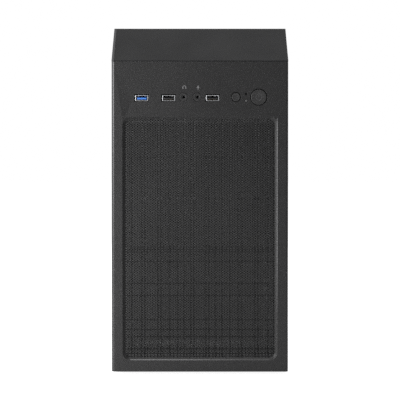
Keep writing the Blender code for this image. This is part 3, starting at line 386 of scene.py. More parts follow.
def makePiece(name, shapes, body, materials, stands=(), angle=32, merge=1e-6, tidy=True):
    points, faces = together(shapes)
    mesh = bpy.data.meshes.new(name)
    mesh.from_pydata(points.tolist(), [], [f for part in faces for f in part.tolist()])
    piece = bpy.data.objects.new(name, mesh)
    bpy.context.scene.collection.objects.link(piece)
    materials = materials if isinstance(materials, (list, tuple)) else [materials]
    for material in materials:
        mesh.materials.append(material)
    if tidy:
        tidyMesh(mesh, merge)
    mesh.shade_smooth()
    mesh.set_sharp_from_angle(angle=math.radians(angle))
    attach(piece, body)
    if stands:
        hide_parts(*stands)
    return piece


def softened(node, name, material, width=0.4, segments=2, angle=28):
    # a copy of a CAD node with its doubles merged, flat faces joined and edges rounded
    source = frame["nodes"][node]
    mesh = source.data.copy()
    mesh.name = name
    shape = bmesh.new()
    shape.from_mesh(mesh)
    bmesh.ops.remove_doubles(shape, verts=shape.verts, dist=2e-6)
    bmesh.ops.dissolve_limit(shape, angle_limit=math.radians(0.4), use_dissolve_boundaries=False,
                             verts=shape.verts, edges=shape.edges, delimit=set())
    shape.to_mesh(mesh)
    shape.free()
    piece = bpy.data.objects.new(name, mesh)
    bpy.context.scene.collection.objects.link(piece)
    mesh.materials.clear()
    mesh.materials.append(material)
    mesh.shade_smooth()
    mesh.set_sharp_from_angle(angle=math.radians(angle))
    if width:
        edge = piece.modifiers.new("roundedEdges", "BEVEL")
        edge.width = width * millimetre
        edge.segments = segments
        edge.limit_method = "ANGLE"
        edge.angle_limit = math.radians(angle)
        edge.use_clamp_overlap = True
        edge.harden_normals = True
    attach(piece, source["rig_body"])
    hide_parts(node)
    return piece


def span(node):
    # a node's lowest and highest corner in millimetres
    low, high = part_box(node)
    return np.array(low) * 1000, np.array(high) * 1000


# finishes, one for each kind of surface
# fixed pale and dark marks that stand in for highlights and shade which the studio lights do not give;
# they are a fit for the view from the front, not wear or a finish of the real thing: strength 0 leaves them out
standInMarks = dict(
    strength=1.0,
    shade=(0.003, 0.003, 0.003),
    deepShade=(0.002, 0.002, 0.002),
    highlight=(0.20, 0.20, 0.205),
    ledgeHighlight=(0.17, 0.17, 0.172),
    capHighlight=(0.13, 0.13, 0.133),
    lipHighlight=(0.075, 0.075, 0.077),
    borderHighlight=(0.045, 0.045, 0.046),
)
signPlaces = dict(headphone=(-15.9, 293.2), microphone=(-1.9, 293.2), power=(60.0, 283.2))


def printedSignsAndPaintedLight(p, base):
    # small grey pictograms above the two audio sockets: a headphone and a microphone, from distances
    x, y, z = [a * 1000 for a in p.axes()]
    front = y < -172.0
    hx, hz = x - signPlaces["headphone"][0], z - signPlaces["headphone"][1]
    ring = abs((hx * hx + hz * hz).root() - 1.55) < 0.28
    band = ring * (hz > 0.0)
    cups = (abs(abs(hx) - 1.45) < 0.5) * (abs(hz + 0.55) < 1.0)
    mx, mz = x - signPlaces["microphone"][0], z - signPlaces["microphone"][1]
    capsule = ((mx * mx + (abs(mz - 0.5) - 0.7).most(0.0) ** 2.0).root() < 0.62)
    cradle = (abs((mx * mx + (mz - 0.3) * (mz - 0.3)).root() - 1.3) < 0.2) * (mz < 0.2)
    stem = (abs(mx) < 0.2) * (abs(mz + 1.5) < 0.55)
    foot = (abs(mx) < 0.8) * (abs(mz + 2.0) < 0.18)
    mark = band.most(cups).most(capsule).most(cradle).most(stem).most(foot) * front
    base = p.mix(mark * 0.8, base, (0.20, 0.20, 0.205))
    # stand-in marks: painted shade low on the left side, lighter towards the top; a painted highlight on the left
    # corner, paler towards the top; and a painted highlight on the recess's lower edge, fading to the right
    s = standInMarks
    amount = s["strength"]
    raised = z.step(120.0, 300.0)
    base = p.mix((x < -88.4) * (1.0 - raised) * (0.75 * amount), base, s["shade"])
    corner = (abs(x + 87.9) < 0.42) * (0.22 * amount + raised * (0.5 * amount))
    base = p.mix(corner, base, s["highlight"])
    ledge = (abs(z - 15.15) < 0.36) * (abs(x) < 71.0) * (y < -174.0) * x.step(-30.0, 60.0, 0.95 * amount,
                                                                              0.25 * amount)
    base = p.mix(ledge, base, s["ledgeHighlight"])
    # and on the right wall of the recess: shade inside, a highlight on its outer edge above the lower third
    inRecess = (z > 17.0) * (z < 262.0) * (y < -171.0)
    base = p.mix((x > 75.9) * (x < 78.2) * inRecess * (0.45 * amount), base, s["shade"])
    rim = (abs(x - 78.85) < 0.45) * inRecess * z.step(50.0, 130.0) * (0.45 * amount)
    return p.mix(rim, base, s["highlight"])


def capCorners(p, base):
    # stand-in marks: a highlight on the cap's left corner, with a fine line of shade inside it
    s = standInMarks
    x = p.axes()[0] * 1000
    base = p.mix((abs(x + 87.1) < 0.45) * (0.5 * s["strength"]), base, s["deepShade"])
    return p.mix((x < -87.7) * (0.45 * s["strength"]), base, s["capHighlight"])


def symbolMarks(p, base):
    # the power sign: an open ring with a bar through its gap
    x, y, z = [a * 1000 for a in p.axes()]
    sx, sz = x - signPlaces["power"][0], z - signPlaces["power"][1]
    away = (sx * sx + sz * sz).root()
    ring = (abs(away - 3.1) < 0.34) * ((abs(sx) > 1.0).most(sz < 0.0))
    bar = (abs(sx) < 0.34) * (abs(sz - 1.9) < 2.0)
    return p.mix(ring.most(bar) * (y < -174.0), base, (0.055, 0.055, 0.057))


def paleBorder(p, base):
    # stand-in marks: a painted highlight makes the sheet paler near its left, lower and upper edges, and painted
    # shade darkens it along its right edge
    s = standInMarks
    x, _, z = [a * 1000 for a in p.axes()]
    near = (x * -1.0).step(73.5, 76.0).most(z.step(24.0, 18.0)).most(z.step(255.0, 260.0) * 0.4)
    base = p.mix(near * (0.9 * s["strength"]), base, s["borderHighlight"])
    return p.mix(x.step(74.6, 75.3) * (0.8 * s["strength"]), base, s["deepShade"])


bezelColour = (0.0165, 0.0163, 0.0168)
bezelPlastic = sparkPlastic("sparkGrainPlastic", bezelColour, 0.42, 1500.0, 0.00016, 0.12, extra=printedSignsAndPaintedLight)
innerPlastic = sparkPlastic("innerBlackPlastic", bezelColour, 0.50, 1500.0, 0.00012, 0.12)
capPlastic = sparkPlastic("satinCapPlastic", (0.0082, 0.0083, 0.0090), 0.5, 2600.0, 0.00003, 0.04, 0.20,
                          extra=capCorners)
buttonPlastic = sparkPlastic("buttonPlastic", (0.030, 0.0298, 0.0302), 0.34, 2200.0, 0.00006, 0.08, extra=symbolMarks)
blackPaint = powderCoat("blackPowderCoat", (0.019, 0.019, 0.0195), 0.47)
meshPaint = powderCoat("meshPowderCoat", (0.0165, 0.0165, 0.0169), 0.45, 1600.0, 0.00003, paleBorder)
sheetSteel = platedSteel("zincPlatedSteel", (0.44, 0.45, 0.46), 0.38)
chromeSteel = plainMetal("brightSteel", (0.66, 0.67, 0.69), 0.20)
aluminium = plainMetal("brushedAluminium", (0.74, 0.75, 0.76), 0.34, 700.0)
bluePlastic = smoothPlastic("bluePlastic", (0.055, 0.20, 0.62), 0.38)
blackSmooth = smoothPlastic("connectorBlack", (0.016, 0.016, 0.017), 0.38)
fanPlastic = smoothPlastic("fanBlack", (0.022, 0.022, 0.023), 0.36)
rubber = softRubber("footRubber", (0.018, 0.018, 0.018))
gold = plainMetal("goldPlate", (0.86, 0.62, 0.27), 0.25)


def circuitBoard(name, colour, pitch=1.0):
    # a printed board: solder mask over a maze of tracks, with plated holes
    p = Paint(name, colour, 0.34, Specular_IOR_Level=0.5, Coat_Weight=0.25)
    where = p.node("ShaderNodeVectorMath", {"operation": "SCALE"}, {0: p.place(), 3: 1000.0 / pitch})
    tracks = p.node("ShaderNodeTexVoronoi", {"feature": "DISTANCE_TO_EDGE", "distance": "MANHATTAN"},
                    {"Vector": where, "Scale": 0.16}, "Distance")
    lanes = (tracks * 26.0).sine().step(0.1, 0.5)
    holes = p.node("ShaderNodeTexVoronoi", {"feature": "F1"}, {"Vector": where, "Scale": 0.22}, "Distance")
    ring = holes.step(0.07, 0.09, 1.0, 0.0)
    base = p.mix(lanes * 0.6, colour, scaled(colour, 1.9))
    base = p.mix(ring, base, (0.55, 0.52, 0.42))
    p.feed("Base Color", base)
    p.feed("Metallic", ring * 0.9)
    p.feed("Roughness", 0.36 - ring * 0.1 + p.noise(300.0) * 0.08)
    return p.done(p.bump(lanes * 0.6 + ring, 0.00005, 0.8))


boardGreen = circuitBoard("boardGreen", (0.012, 0.075, 0.032))


def wovenSleeve(name, colour):
    p = Paint(name, colour, 0.6)
    weave = p.noise(900.0, 2.0, 0.6)
    p.feed("Base Color", p.mix(weave.step(0.4, 0.6), scaled(colour, 0.6), scaled(colour, 1.9)))
    p.feed("Roughness", 0.5 + weave * 0.2)
    return p.done(p.bump(weave, 0.00012, 0.8))


sleeveWeave = wovenSleeve("cableWeave", (0.022, 0.022, 0.024))


def dimLens(name, colour, roughness):
    # a light pipe's frosted end
    p = Paint(name, colour, roughness, Coat_Weight=0.6, Coat_Roughness=0.15)
    frost = p.noise(2600.0, 2.0, 0.5)
    p.feed("Base Color", p.mix(frost.step(0.3, 0.7), scaled(colour, 0.85), scaled(colour, 1.1)))
    p.feed("Roughness", roughness + (frost - 0.5) * 0.15)
    return p.done(p.bump(frost, 0.00002, 0.5))


darkLens = dimLens("darkLens", (0.002, 0.002, 0.002), 0.5)
paleLens = dimLens("paleLens", (0.13, 0.13, 0.13), 0.35)
filterMesh = sparkPlastic("filterNylon", (0.035, 0.035, 0.036), 0.6, 1900.0, 0.00005, 0.1)
print("finishes made")


# mouldings and sheet metal whose shape the frame gives
softCopies = [
    ("front_bezel", "frontBezelMoulding", "black_plastic", bezelPlastic, 0.7),
    ("bezel_top_cap", "topCapMoulding", "black_plastic", capPlastic, 0.7),
    ("dust_filter", "dustFilterFrame", "black_plastic", filterMesh, 0.3),
    ("io_board", "frontPortBoard", "board_green", boardGreen, 0.1),
    ("top_cover", "topCoverSheet", "black_paint", blackPaint, 0.5),
    ("chassis_base", "baseSheet", "steel", sheetSteel, 0.4),
    ("front_frame", "frontFrameSheet", "steel", sheetSteel, 0.3),
    ("rear_panel", "rearPanelSheet", "steel", sheetSteel, 0.25),
    ("slot_cover_1", "slotCoverOne", "steel", sheetSteel, 0.2),
    ("slot_cover_2", "slotCoverTwo", "steel", sheetSteel, 0.2),
    ("slot_cover_3", "slotCoverThree", "steel", sheetSteel, 0.2),
    ("slot_cover_4", "slotCoverFour", "steel", sheetSteel, 0.2),
    ("left_side_panel", "leftSideSheet", "black_paint", blackPaint, 0.5),
    ("right_side_panel", "rightSideSheet", "black_paint", blackPaint, 0.5),
    ("motherboard_tray", "boardTraySheet", "steel", sheetSteel, 0.25),
    ("motherboard", "mainBoard", "board_green", boardGreen, 0.15),
    ("memory_module_1", "memoryOne", "board_green", boardGreen, 0.1),
    ("memory_module_2", "memoryTwo", "board_green", boardGreen, 0.1),
    ("cpu_heatsink", "cpuFins", "aluminium", aluminium, 0.1),
    ("chipset_heatsink", "chipsetFins", "aluminium", aluminium, 0.1),
    ("rear_port_block", "rearPorts", "steel", sheetSteel, 0.2),
    ("io_shield", "portShield", "steel", sheetSteel, 0.15),
    ("front_fan_frame", "frontFanHousing", "fan_plastic", fanPlastic, 0.4),
    ("rear_fan_frame", "rearFanHousing", "fan_plastic", fanPlastic, 0.4),
    ("cpu_fan_frame", "cpuFanHousing", "fan_plastic", fanPlastic, 0.4),
    ("psu_case", "supplyCase", "steel", sheetSteel, 0.3),
    ("psu_fan_guard", "supplyFanGuard", "chrome_steel", chromeSteel, 0),
    ("psu_board", "supplyBoard", "board_green", boardGreen, 0.2),
    ("psu_inlet", "mainsSocket", "black_plastic", blackSmooth, 0.3),
    ("psu_switch_frame", "switchSurround", "black_plastic", blackSmooth, 0.3),
    ("psu_rocker", "switchRocker", "black_plastic", blackSmooth, 0.4),
    ("drive_cage", "driveCageSheet", "steel", sheetSteel, 0.3),
    ("hard_drive", "hardDriveBody", "aluminium", aluminium, 0.5),
]
for node, name, slotName, material, width in softCopies:
    softened(node, name, material, width)
print("sheet metal and mouldings placed")


# the perforated front sheet
meshSheet = dict(stepX=3.35, stepZ=2.483, holeRadius=0.66, middle=(0.0, 139.0), half=(79.0, 124.4), strips=3,
                 rimWidth=3.0)


def perforatedSheet(s):
    # eight-sided holes in a staggered lattice: each hole's ring is joined to the eight-cornered cell round it,
    # front and back, and the cells share their corners
    low, high = span("mesh_panel")
    yFront, yBack = low[1], high[1]
    a, b = s["stepX"], s["stepZ"]
    # the cell is the set of points nearest to one hole among its six neighbours
    cx = (a * a / 4 + b * b / 4) / a
    sx = (a * a / 4 - b * b / 4) / a
    cell = np.array([(cx, 0), (sx, b / 2), (0, b / 2), (-sx, b / 2), (-cx, 0), (-sx, -b / 2), (0, -b / 2),
                     (sx, -b / 2)])
    t = np.arctan2(cell[:, 1], cell[:, 0])
    hole = s["holeRadius"] * np.stack([np.cos(t), np.sin(t)], -1)
    columns = int(s["half"][0] * 2 / a) * 2 + 1
    i, j = np.meshgrid(np.arange(-columns, columns + 1), np.arange(-120, 121), indexing="ij")
    keep = (i + j) % 2 == 0
    x, z = i[keep] * a / 2, j[keep] * b / 2
    inside = (np.abs(x) + cx < s["half"][0]) & (np.abs(z) + b / 2 < s["half"][1])
    x, z = x[inside] + s["middle"][0], z[inside] + s["middle"][1]
    order = np.argsort(z, kind="stable")
    x, z = x[order], z[order]
    bounds = np.linspace(low[2], high[2], s["strips"] + 1)
    n = len(cell)
    for k in range(s["strips"]):
        own = (z >= bounds[k]) & (z < bounds[k + 1])
        centre = np.stack([x[own], z[own]], -1)
        m = len(centre)
        outer = centre[:, None] + cell[None]
        inner = centre[:, None] + hole[None]
        rings = []
        for flat, y in ((outer, yFront), (inner, yFront), (inner, yBack), (outer, yBack)):
            ring = np.empty((m, n, 3))
            ring[..., 0], ring[..., 1], ring[..., 2] = flat[..., 0], y, flat[..., 1]
            rings.append(ring)
        points = np.stack(rings, 1).reshape(-1, 3)
        at = np.arange(m)[:, None] * 4 * n
        c = np.arange(n)[None]
        d = (c + 1) % n
        sides = [np.stack([at + r * n + c, at + r * n + d, at + (r + 1) * n + d, at + (r + 1) * n + c],
                          -1).reshape(-1, 4)
                 for r in range(3)]
        # cell edges that only one cell has get a wall from front to back
        keys = np.round((outer + np.roll(outer, -1, 1)) * 500).astype(np.int64).reshape(-1, 2)
        _, back, count = np.unique(keys, axis=0, return_inverse=True, return_counts=True)
        lone = (count[back.ravel()] == 1).reshape(m, n)
        walls = np.stack([at + 3 * n + c, at + 3 * n + d, at + d, at + c], -1)[lone]
        points, index = np.unique(np.round(points, 4), axis=0, return_inverse=True)
        faces = index.ravel()[np.concatenate(sides + [walls])]
        makePiece("frontMeshStrip%d" % (k + 1), [(points * millimetre, faces)], "plastic_front",
                  meshPaint, ("mesh_panel",), tidy=False, angle=30)
    # a plain rim under the bezel's lap, a little thinner than the sheet
    w, h, r = (high[0] - low[0]) / 2, (high[2] - low[2]) / 2, s["rimWidth"]
    rings = []
    for inset, y in ((0, yFront + 0.05), (r, yFront + 0.05), (r, yBack - 0.05), (0, yBack - 0.05)):
        outline = roundedOutline(w - inset, h - inset, 8.0 - inset, 6)
        ring = np.stack([outline[:, 0] + s["middle"][0], np.full(len(outline), y), outline[:, 1] + s["middle"][1]],
                        -1)
        rings.append(ring)
    count = len(rings[0])
    makePiece("frontMeshRim", [(np.concatenate(rings) * millimetre, gridFaces(4, count, True, True))],
              "plastic_front", meshPaint)


perforatedSheet(meshSheet)
print("front mesh made")


# buttons, lights and sockets of the front
def dishedButton(name, node, body, radius, dish, edge, material):
    # a round button: a slightly hollow face, a rounded rim and a plain skirt
    low, high = span(node)
    centre = (low + high) / 2
    r = np.linspace(0, 1, 9)
    face = np.stack([dish * (1 - r ** 2) * 1.0, r * (radius - edge)], -1)
    t = np.linspace(0, np.pi / 2, 6)[1:]
    rim = np.stack([edge * (1 - np.cos(t)), radius - edge + edge * np.sin(t)], -1)
    depth = high[1] - low[1]
    skirt = np.array([(depth * 0.45, radius), (depth * 0.45, radius - 1.2), (depth, radius - 1.6), (depth, 0)])
    profile = np.concatenate([face, rim, skirt])
    shape = turned(profile * millimetre, np.array([centre[0], low[1], centre[2]]) * millimetre, (0, 1, 0), 56)
    return makePiece(name, [shape], body, material, (node,), angle=50)


dishedButton("powerButtonCap", "power_button", "power_button", 7.9, 0.35, 0.55, buttonPlastic)
dishedButton("resetButtonCap", "reset_button", "reset_button", 4.4, 0.25, 0.5, buttonPlastic)


def lightPipe(name, node, material, dome, sunk=0.0):
    low, high = span(node)
    low[1] += sunk
    centre, radius = (low + high) / 2, (high[0] - low[0]) / 2
    t = np.linspace(0, np.pi / 2, 6)
    head = np.stack([dome * (1 - np.cos(t)), radius * np.sin(t)], -1)
    profile = np.concatenate([head, [(high[1] - low[1], radius), (high[1] - low[1], 0)]])
    makePiece(name, [turned(profile * millimetre, np.array([centre[0], low[1], centre[2]]) * millimetre, (0, 1, 0),
                            20)],
              "plastic_front", material, (node,))


lightPipe("driveLightPipe", "drive_light", darkLens, 0.3, 0.9)
lightPipe("powerLightPipe", "power_light", paleLens, 0.3)


def audioSocket(name, node, collar):
    # a socket: rounded collar, threaded-looking bore with its bright contact ring, and a flange behind
    low, high = span(node)
    x, z = (low[0] + high[0]) / 2, (low[2] + high[2]) / 2
    y, deep = low[1], high[1] - low[1]
    profile = [(0.35, 1.75), (0.05, 2.0), (0, 2.2), (0, 4.1), (0.12, 4.6), (0.5, 4.9), (3.0, 4.9), (3.2, 4.4),
               (deep, 4.4), (deep, 0),
               (deep - 1.5, 0), (deep - 1.5, 1.75), (3.2, 1.75), (2.2, 1.6), (1.4, 1.75)]
    body = turned(np.array(profile + profile[:1]) * millimetre, np.array([x, y, z]) * millimetre, (0, 1, 0), 36)
    ring = turned(np.array([(3.0, 1.72), (3.0, 1.45), (8.0, 1.45), (8.0, 1.72)] + [(3.0, 1.72)]) * millimetre,
                  np.array([x, y, z]) * millimetre, (0, 1, 0), 24)
    makePiece(name, [body], "plastic_front", collar, (node,), angle=40)
    makePiece(name + "Contact", [ring], "plastic_front", chromeSteel)


audioSocket("headphoneSocket", "headphone_jack", innerPlastic)
audioSocket("microphoneSocket", "microphone_jack", innerPlastic)


usbSettings = dict(wall=0.8, lid=0.45, corner=0.35, gap=0.86, liner=0.12)


def usbSocket(number, tongueMaterial, shellMaterial):
    s = usbSettings
    shell, tongue = "usb_shell_%d" % number, "usb_tongue_%d" % number
    low, high = span(shell)
    middle, half = (low + high) / 2, (high - low) / 2
    # a folded sheet shell: its mouth is rounded, the outline is carried in depth and back inside
    deep, w, h = half[1] * 2, s["wall"], s["lid"]
    rows = [(deep, 0.0, 0.0), (0.9, 0.0, 0.0), (0.35, 0.0, 0.0), (0.08, 0.06, 0.06), (0.0, 0.2, 0.14),
            (0.08, w - 0.02, h - 0.02), (0.5, w, h), (deep, w, h)]
    rings = []
    for depth, across, up in rows:
        o = roundedOutline(half[0] - across, half[2] - up, max(s["corner"] - across, 0.15), 4)
        rings.append(np.stack([middle[0] + o[:, 0], np.full(len(o), low[1] + depth), middle[2] + o[:, 1]], -1))
    count = len(rings[0])
    rings.append(rings[0])
    tube = (np.concatenate(rings) * millimetre, gridFaces(len(rings), count, wrapColumns=True))
    springs = []
    for sx in (-3.1, 3.1):  # the two leaf springs in the top and bottom walls
        for side in (-1, 1):
            z = middle[2] + side * (half[2] - s["lid"] - 0.16)
            springs.append(block((middle[0] + sx - 0.9, low[1] + 3.0, z - 0.12),
                                 (middle[0] + sx + 0.9, low[1] + 8.0, z + 0.12), 0.1, 0.08, 1))
    makePiece("usbShell%d" % number, [tube] + springs, "plastic_front", shellMaterial, (shell,),
              angle=40)
    # a plastic liner fills the bezel's opening below and to the right of the shell
    g, y0 = s["gap"], low[1] - 0.3 + s["liner"]
    liner = [block((low[0], y0, low[2] - g), (high[0] + g, y0 + 1.6, low[2] - 0.06), 0.1, 0.1, 1),
             block((high[0] + 0.06, y0, low[2]), (high[0] + g, y0 + 1.6, high[2]), 0.1, 0.1, 1)]
    makePiece("usbLiner%d" % number, liner, "plastic_front", bezelPlastic)
    tl, th = span(tongue)
    plate = block((tl[0] + 0.2, tl[1], tl[2] + 0.65), (th[0] - 0.2, th[1], tl[2] + 2.5), 0.35, 0.3, 1)
    back = block((tl[0], th[1] - 4.0, tl[2]), (th[0], th[1], th[2]), 0.3, 0.1, 1)
    makePiece("usbTongue%d" % number, [plate, back], "plastic_front",
              tongueMaterial, (tongue,))
    pins = [block((x - 0.45, tl[1] + 0.8, tl[2] + 0.53), (x + 0.45, tl[1] + 8.0, tl[2] + 0.71), 0.1, 0.06, 1)
            for x in middle[0] + np.array([-3.5, -1.05, 1.05, 3.5])]
    makePiece("usbPins%d" % number, pins, "plastic_front", gold)


usbSteel = plainMetal("usbShellSteel", (0.66, 0.67, 0.69), 0.5, 900.0)
usbSocket(1, bluePlastic, usbSteel)
usbSocket(2, blackSmooth, usbSteel)
usbSocket(3, blackSmooth, usbSteel)
print("front controls made")


# the seat strip in the crease between bezel and cap
def paleLeft(p, base):
    # a stand-in mark: the lip's highlight fades from the left to the middle
    s = standInMarks
    return p.mix(p.axes()[0].step(-0.06, 0.03, s["strength"], 0.0), base, s["lipHighlight"])


def seatStrip():
    # a thin plastic lip closes most of the joint, so that it reads as a shallow groove
    low, high = span("front_bezel")
    strip = block((low[0] + 0.4, low[1] + 0.15, high[2] - 0.02), (high[0] - 0.4, low[1] + 3.0, high[2] + 0.27), 0.02,
                  0.05, 1)
    # the lip's pale tone, nearly three times the bezel's, is a painted highlight along the crease
    lip = sparkPlastic("seatLipPlastic", (0.046, 0.046, 0.046), 0.4, 1500.0, 0.0001, 0.1, extra=paleLeft)
    makePiece("capSeatStrip", [strip], "plastic_front", lip)


seatStrip()


lowerShadeWebSettings = dict(side=2.4, clips=9.0, clear=0.4, thick=1.6, lift=1.0, above=2.0)


def lowerShadeWeb(s):
    # an assumed rib across the back of the front's lower wall closes the view under the case's base; it is also
    # painted shade, a dark sheet where the shade under the case would be;
    # the node ends at its clips' tips, so the rib is set back from there, clear of the front frame
    low, high = span("front_bezel")
    back = high[1] - s["clips"] - s["clear"]
    base = span("chassis_base")[0][2]
    web = block((low[0] + s["side"], back - s["thick"], low[2] + s["lift"]),
                (high[0] - s["side"], back, base + s["above"]), 0.2, 0.2, 0)
    makePiece("bezelLowerShadeWeb", [web], "plastic_front", innerPlastic)


lowerShadeWeb(lowerShadeWebSettings)


# the dust filter's gauze
filterGauze = dict(wave=1.1, depth=0.35, thread=0.25)


def wovenNylon(name, colour, pitch):
    # crossed round threads: the height is the nearer of two rows of half circles, over and under in turn
    p = Paint(name, colour, 0.7, Specular_IOR_Level=0.2)
    x, _, z = [a * (1000.0 * math.pi / pitch) for a in p.axes()]
    warp, weft = x.sine(), z.sine()
    height = abs(warp).most(abs(weft)) + warp * weft * 0.4
    # the colour follows the height: darker in the low spots between threads and paler on the crossings, a painted
    # shade and highlight of the weave
    p.feed("Base Color", p.mix(height.step(0.3, 1.0), scaled(colour, 0.4), scaled(colour, 1.6)))
    return p.done(p.bump(height, 0.0008, 1.0))


def gauzeSheet(s):
    # a thin sheet in the filter's frame, drawn in and out in soft waves as a clamped net is
    low, high = span("dust_filter")
    inset = 5.0
    u = np.linspace(low[0] + inset, high[0] - inset, 90)
    v = np.linspace(low[2] + inset, high[2] - inset, 140)
    x, z = np.meshgrid(u, v, indexing="ij")
    y = (low[1] + high[1]) / 2 + 0.5 + s["depth"] * np.sin(x / s["wave"]) * np.sin(z / s["wave"])
    front = np.stack([x, y - s["thread"] / 2, z], -1)
    back = np.stack([x, y + s["thread"] / 2, z], -1)
    n, m = x.shape
    faces = gridFaces(n, m)
    edge = np.concatenate([np.arange(m), np.arange(1, n) * m + m - 1, (n - 1) * m + np.arange(m - 2, -1, -1),
                           np.arange(n - 2, 0, -1) * m])
    loop = np.roll(edge, -1)
    wall = np.stack([edge, loop, loop + n * m, edge + n * m], -1)
    makePiece("dustFilterGauze", [(np.concatenate([front.reshape(-1, 3), back.reshape(-1, 3)]) * millimetre,
                                   np.concatenate([faces, faces[:, ::-1] + n * m, wall]))],
              "plastic_front", wovenNylon("filterGauze", (0.02, 0.02, 0.0202), 0.9))


gauzeSheet(filterGauze)
print("dust filter made")


# fans
fanSettings = dict(hubRatio=0.36, gap=1.5, plate=3.0, chord=0.62, sweep=0.42, thickness=1.5, rows=9, columns=9)


def fanBlades(name, body, node, side, depth, bore, origin, axis, blades=7):
    # each blade: the angle grows along its chord and lags towards the tip, the height falls along the chord with a
    # slight camber, and the thickness is that of a thin leaf, nought at both edges
    s = fanSettings
    hub, tip = side / 2 * s["hubRatio"], bore - s["gap"]
    low, high = 1.0, depth - s["plate"] - 0.5
    u = np.linspace(0, 1, s["rows"])[:, None]
    v = np.linspace(0, 1, s["columns"])
    around = np.concatenate([v, v[::-1][1:-1]])[None]
    face = np.concatenate([np.ones(len(v)), -np.ones(len(v) - 2)])[None]
    leaf = s["thickness"] / 2 * np.sqrt(np.clip(np.sin(np.pi * np.clip(around, 0.02, 0.98)), 0,
                                                1)) * (1.15 - 0.45 * u)
    radius = hub - 0.6 + (tip - hub + 0.6) * u + 0 * around
    lean = s["sweep"] * u ** 1.4
    angle = (around - 0.5) * s["chord"] * (1 + 0.18 * u) + lean
    height = low + 1.0 + (high - low - 2.0) * (around + 0.07 * np.sin(np.pi * around)) + face * leaf * 0.75
    angle = angle - face * leaf * 0.65 / np.maximum(radius, 1)
    across, aside, ahead = frameOf(axis)
    shapes = []
    for k in range(blades):
        a = angle + 2 * np.pi * k / blades
        outward = np.cos(a)[..., None] * across + np.sin(a)[..., None] * aside
        ring = outward * radius[..., None] + height[..., None] * ahead
        first = np.repeat(ring[:1].mean(1, keepdims=True), ring.shape[1], 1)
        last = np.repeat(ring[-1:].mean(1, keepdims=True), ring.shape[1], 1)
        grid = np.concatenate([first, ring, last])
        shapes.append(((grid.reshape(-1, 3) + np.asarray(origin)) * millimetre,
                       gridFaces(len(grid), ring.shape[1], wrapColumns=True)))
    t = np.linspace(0, np.pi / 2, 6)
    cup = np.concatenate([[(low, 0)], np.stack([low + 1.2 * (1 - np.cos(t)), hub - 1.2 + 1.2 * np.sin(t)], -1),
                          [(high, hub), (high, hub - 1.4), (low + 2.2, hub - 1.6), (low + 2.2, 0)]])
    cup[1:2, 1] = hub * 0.82
    groove = [(low, 0), (low, hub * 0.60), (low + 0.35, hub * 0.62), (low + 0.35, hub * 0.66), (low, hub * 0.68)]
    cup = np.concatenate([groove, cup[1:]])
    shapes.append(turned(cup * millimetre, np.asarray(origin) * millimetre, axis, 40))
    makePiece(name, shapes, body, fanPlastic, (node,), angle=38, merge=2e-7)
    spindle = turned(np.array([(high, 0), (high, 3.0), (high + 0.4, 3.0), (high + 0.45, 0)]) * millimetre,
                     np.asarray(origin) * millimetre, axis, 20)
    makePiece(name + "Spindle", [spindle], body, chromeSteel)


fanBlades("frontFanBlades", "front_fan_rotor", "front_fan_rotor", 120, 25, 58, (0, -155, 190), (0, 1, 0))
fanBlades("rearFanBlades", "rear_fan_rotor", "rear_fan_rotor", 92, 25, 44, (-36, 165.7, 196), (0, -1, 0))
fanBlades("cpuFanBlades", "cpu_fan_rotor", "cpu_fan_rotor", 90, 15, 42, (26.3, 92, 196), (1, 0, 0), 9)
fanBlades("supplyFanBlades", "psu_fan_rotor", "psu_fan_rotor", 114, 21, 57, (-2, 95.7, 288.3), (0, 0, -1))


# thumbscrews with a knurled rim
thumbSettings = dict(knurls=30, depth=0.28)


def thumbscrew(name, node, material):
    # the rim's radius ripples with the angle, most in the middle of its height; the face has a driver's cross, made
    # of dark blocks that are painted shade for its recess
    s = thumbSettings
    low, high = span(node)
    x, z = (low[0] + high[0]) / 2, (low[2] + high[2]) / 2
    face = high[1]
    profile = np.array([(0, 0), (0, 3.4), (0.45, 3.9), (0.45, 5.1), (0.6, 5.5), (1.1, 5.9), (2.0, 6.0), (4.4, 6.0),
                        (5.4, 5.9),
                        (5.9, 5.4), (6.5, 4.6), (6.6, 3.2), (6.6, 1.75), (face - low[1] - 1.0, 1.75), (face - low[1],
                                                                                                       1.2),
                        (face - low[1], 0)])
    sides = s["knurls"] * 4
    points, faces = turned(profile, (x, face, z), (0, -1, 0), sides)
    points = points.reshape(len(profile), sides, 3)
    a = np.arange(sides) / 4 * 2 * np.pi
    ripple = s["depth"] * np.clip(np.cos(a), -0.6, 0.6)
    grip = np.clip((np.minimum(profile[:, 0] - 0.6, 6.2 - profile[:, 0])) / 0.6, 0, 1) * (profile[:, 1] > 4)
    away = points - np.array([x, 0, z]) * np.array([1, 0, 1])
    away[..., 1] = 0
    away /= np.maximum(np.linalg.norm(away, axis=-1, keepdims=True), 1e-6)
    points = points + away * (grip[:, None] * ripple[None])[..., None] * 0.9
    makePiece(name, [(points.reshape(-1, 3) * millimetre, faces)], node, material, (node,), angle=30)
    slot = [block((x - 2.5, face - 0.35, z - 0.45), (x + 2.5, face + 0.03, z + 0.45), 0.3, 0.02, 1),
            block((x - 0.45, face - 0.35, z - 2.5), (x + 0.45, face + 0.03, z + 2.5), 0.3, 0.02, 1)]
    makePiece(name + "Slot", slot, node, paintedRecessShade)


# a dark finish for screw slots and the backs of port openings: painted shade standing for the depth of these recesses
paintedRecessShade = powderCoat("paintedRecessShade", (0.012, 0.012, 0.012), 0.7)
thumbSteel = plainMetal("thumbscrewPlate", (0.55, 0.56, 0.58), 0.26, 1100.0, 0.00002)
for side in ("left", "right"):
    for place in ("lower", "upper"):
        thumbscrew(side + place.capitalize() + "Thumbscrew", "thumbscrew_%s_%s" % (side, place), thumbSteel)


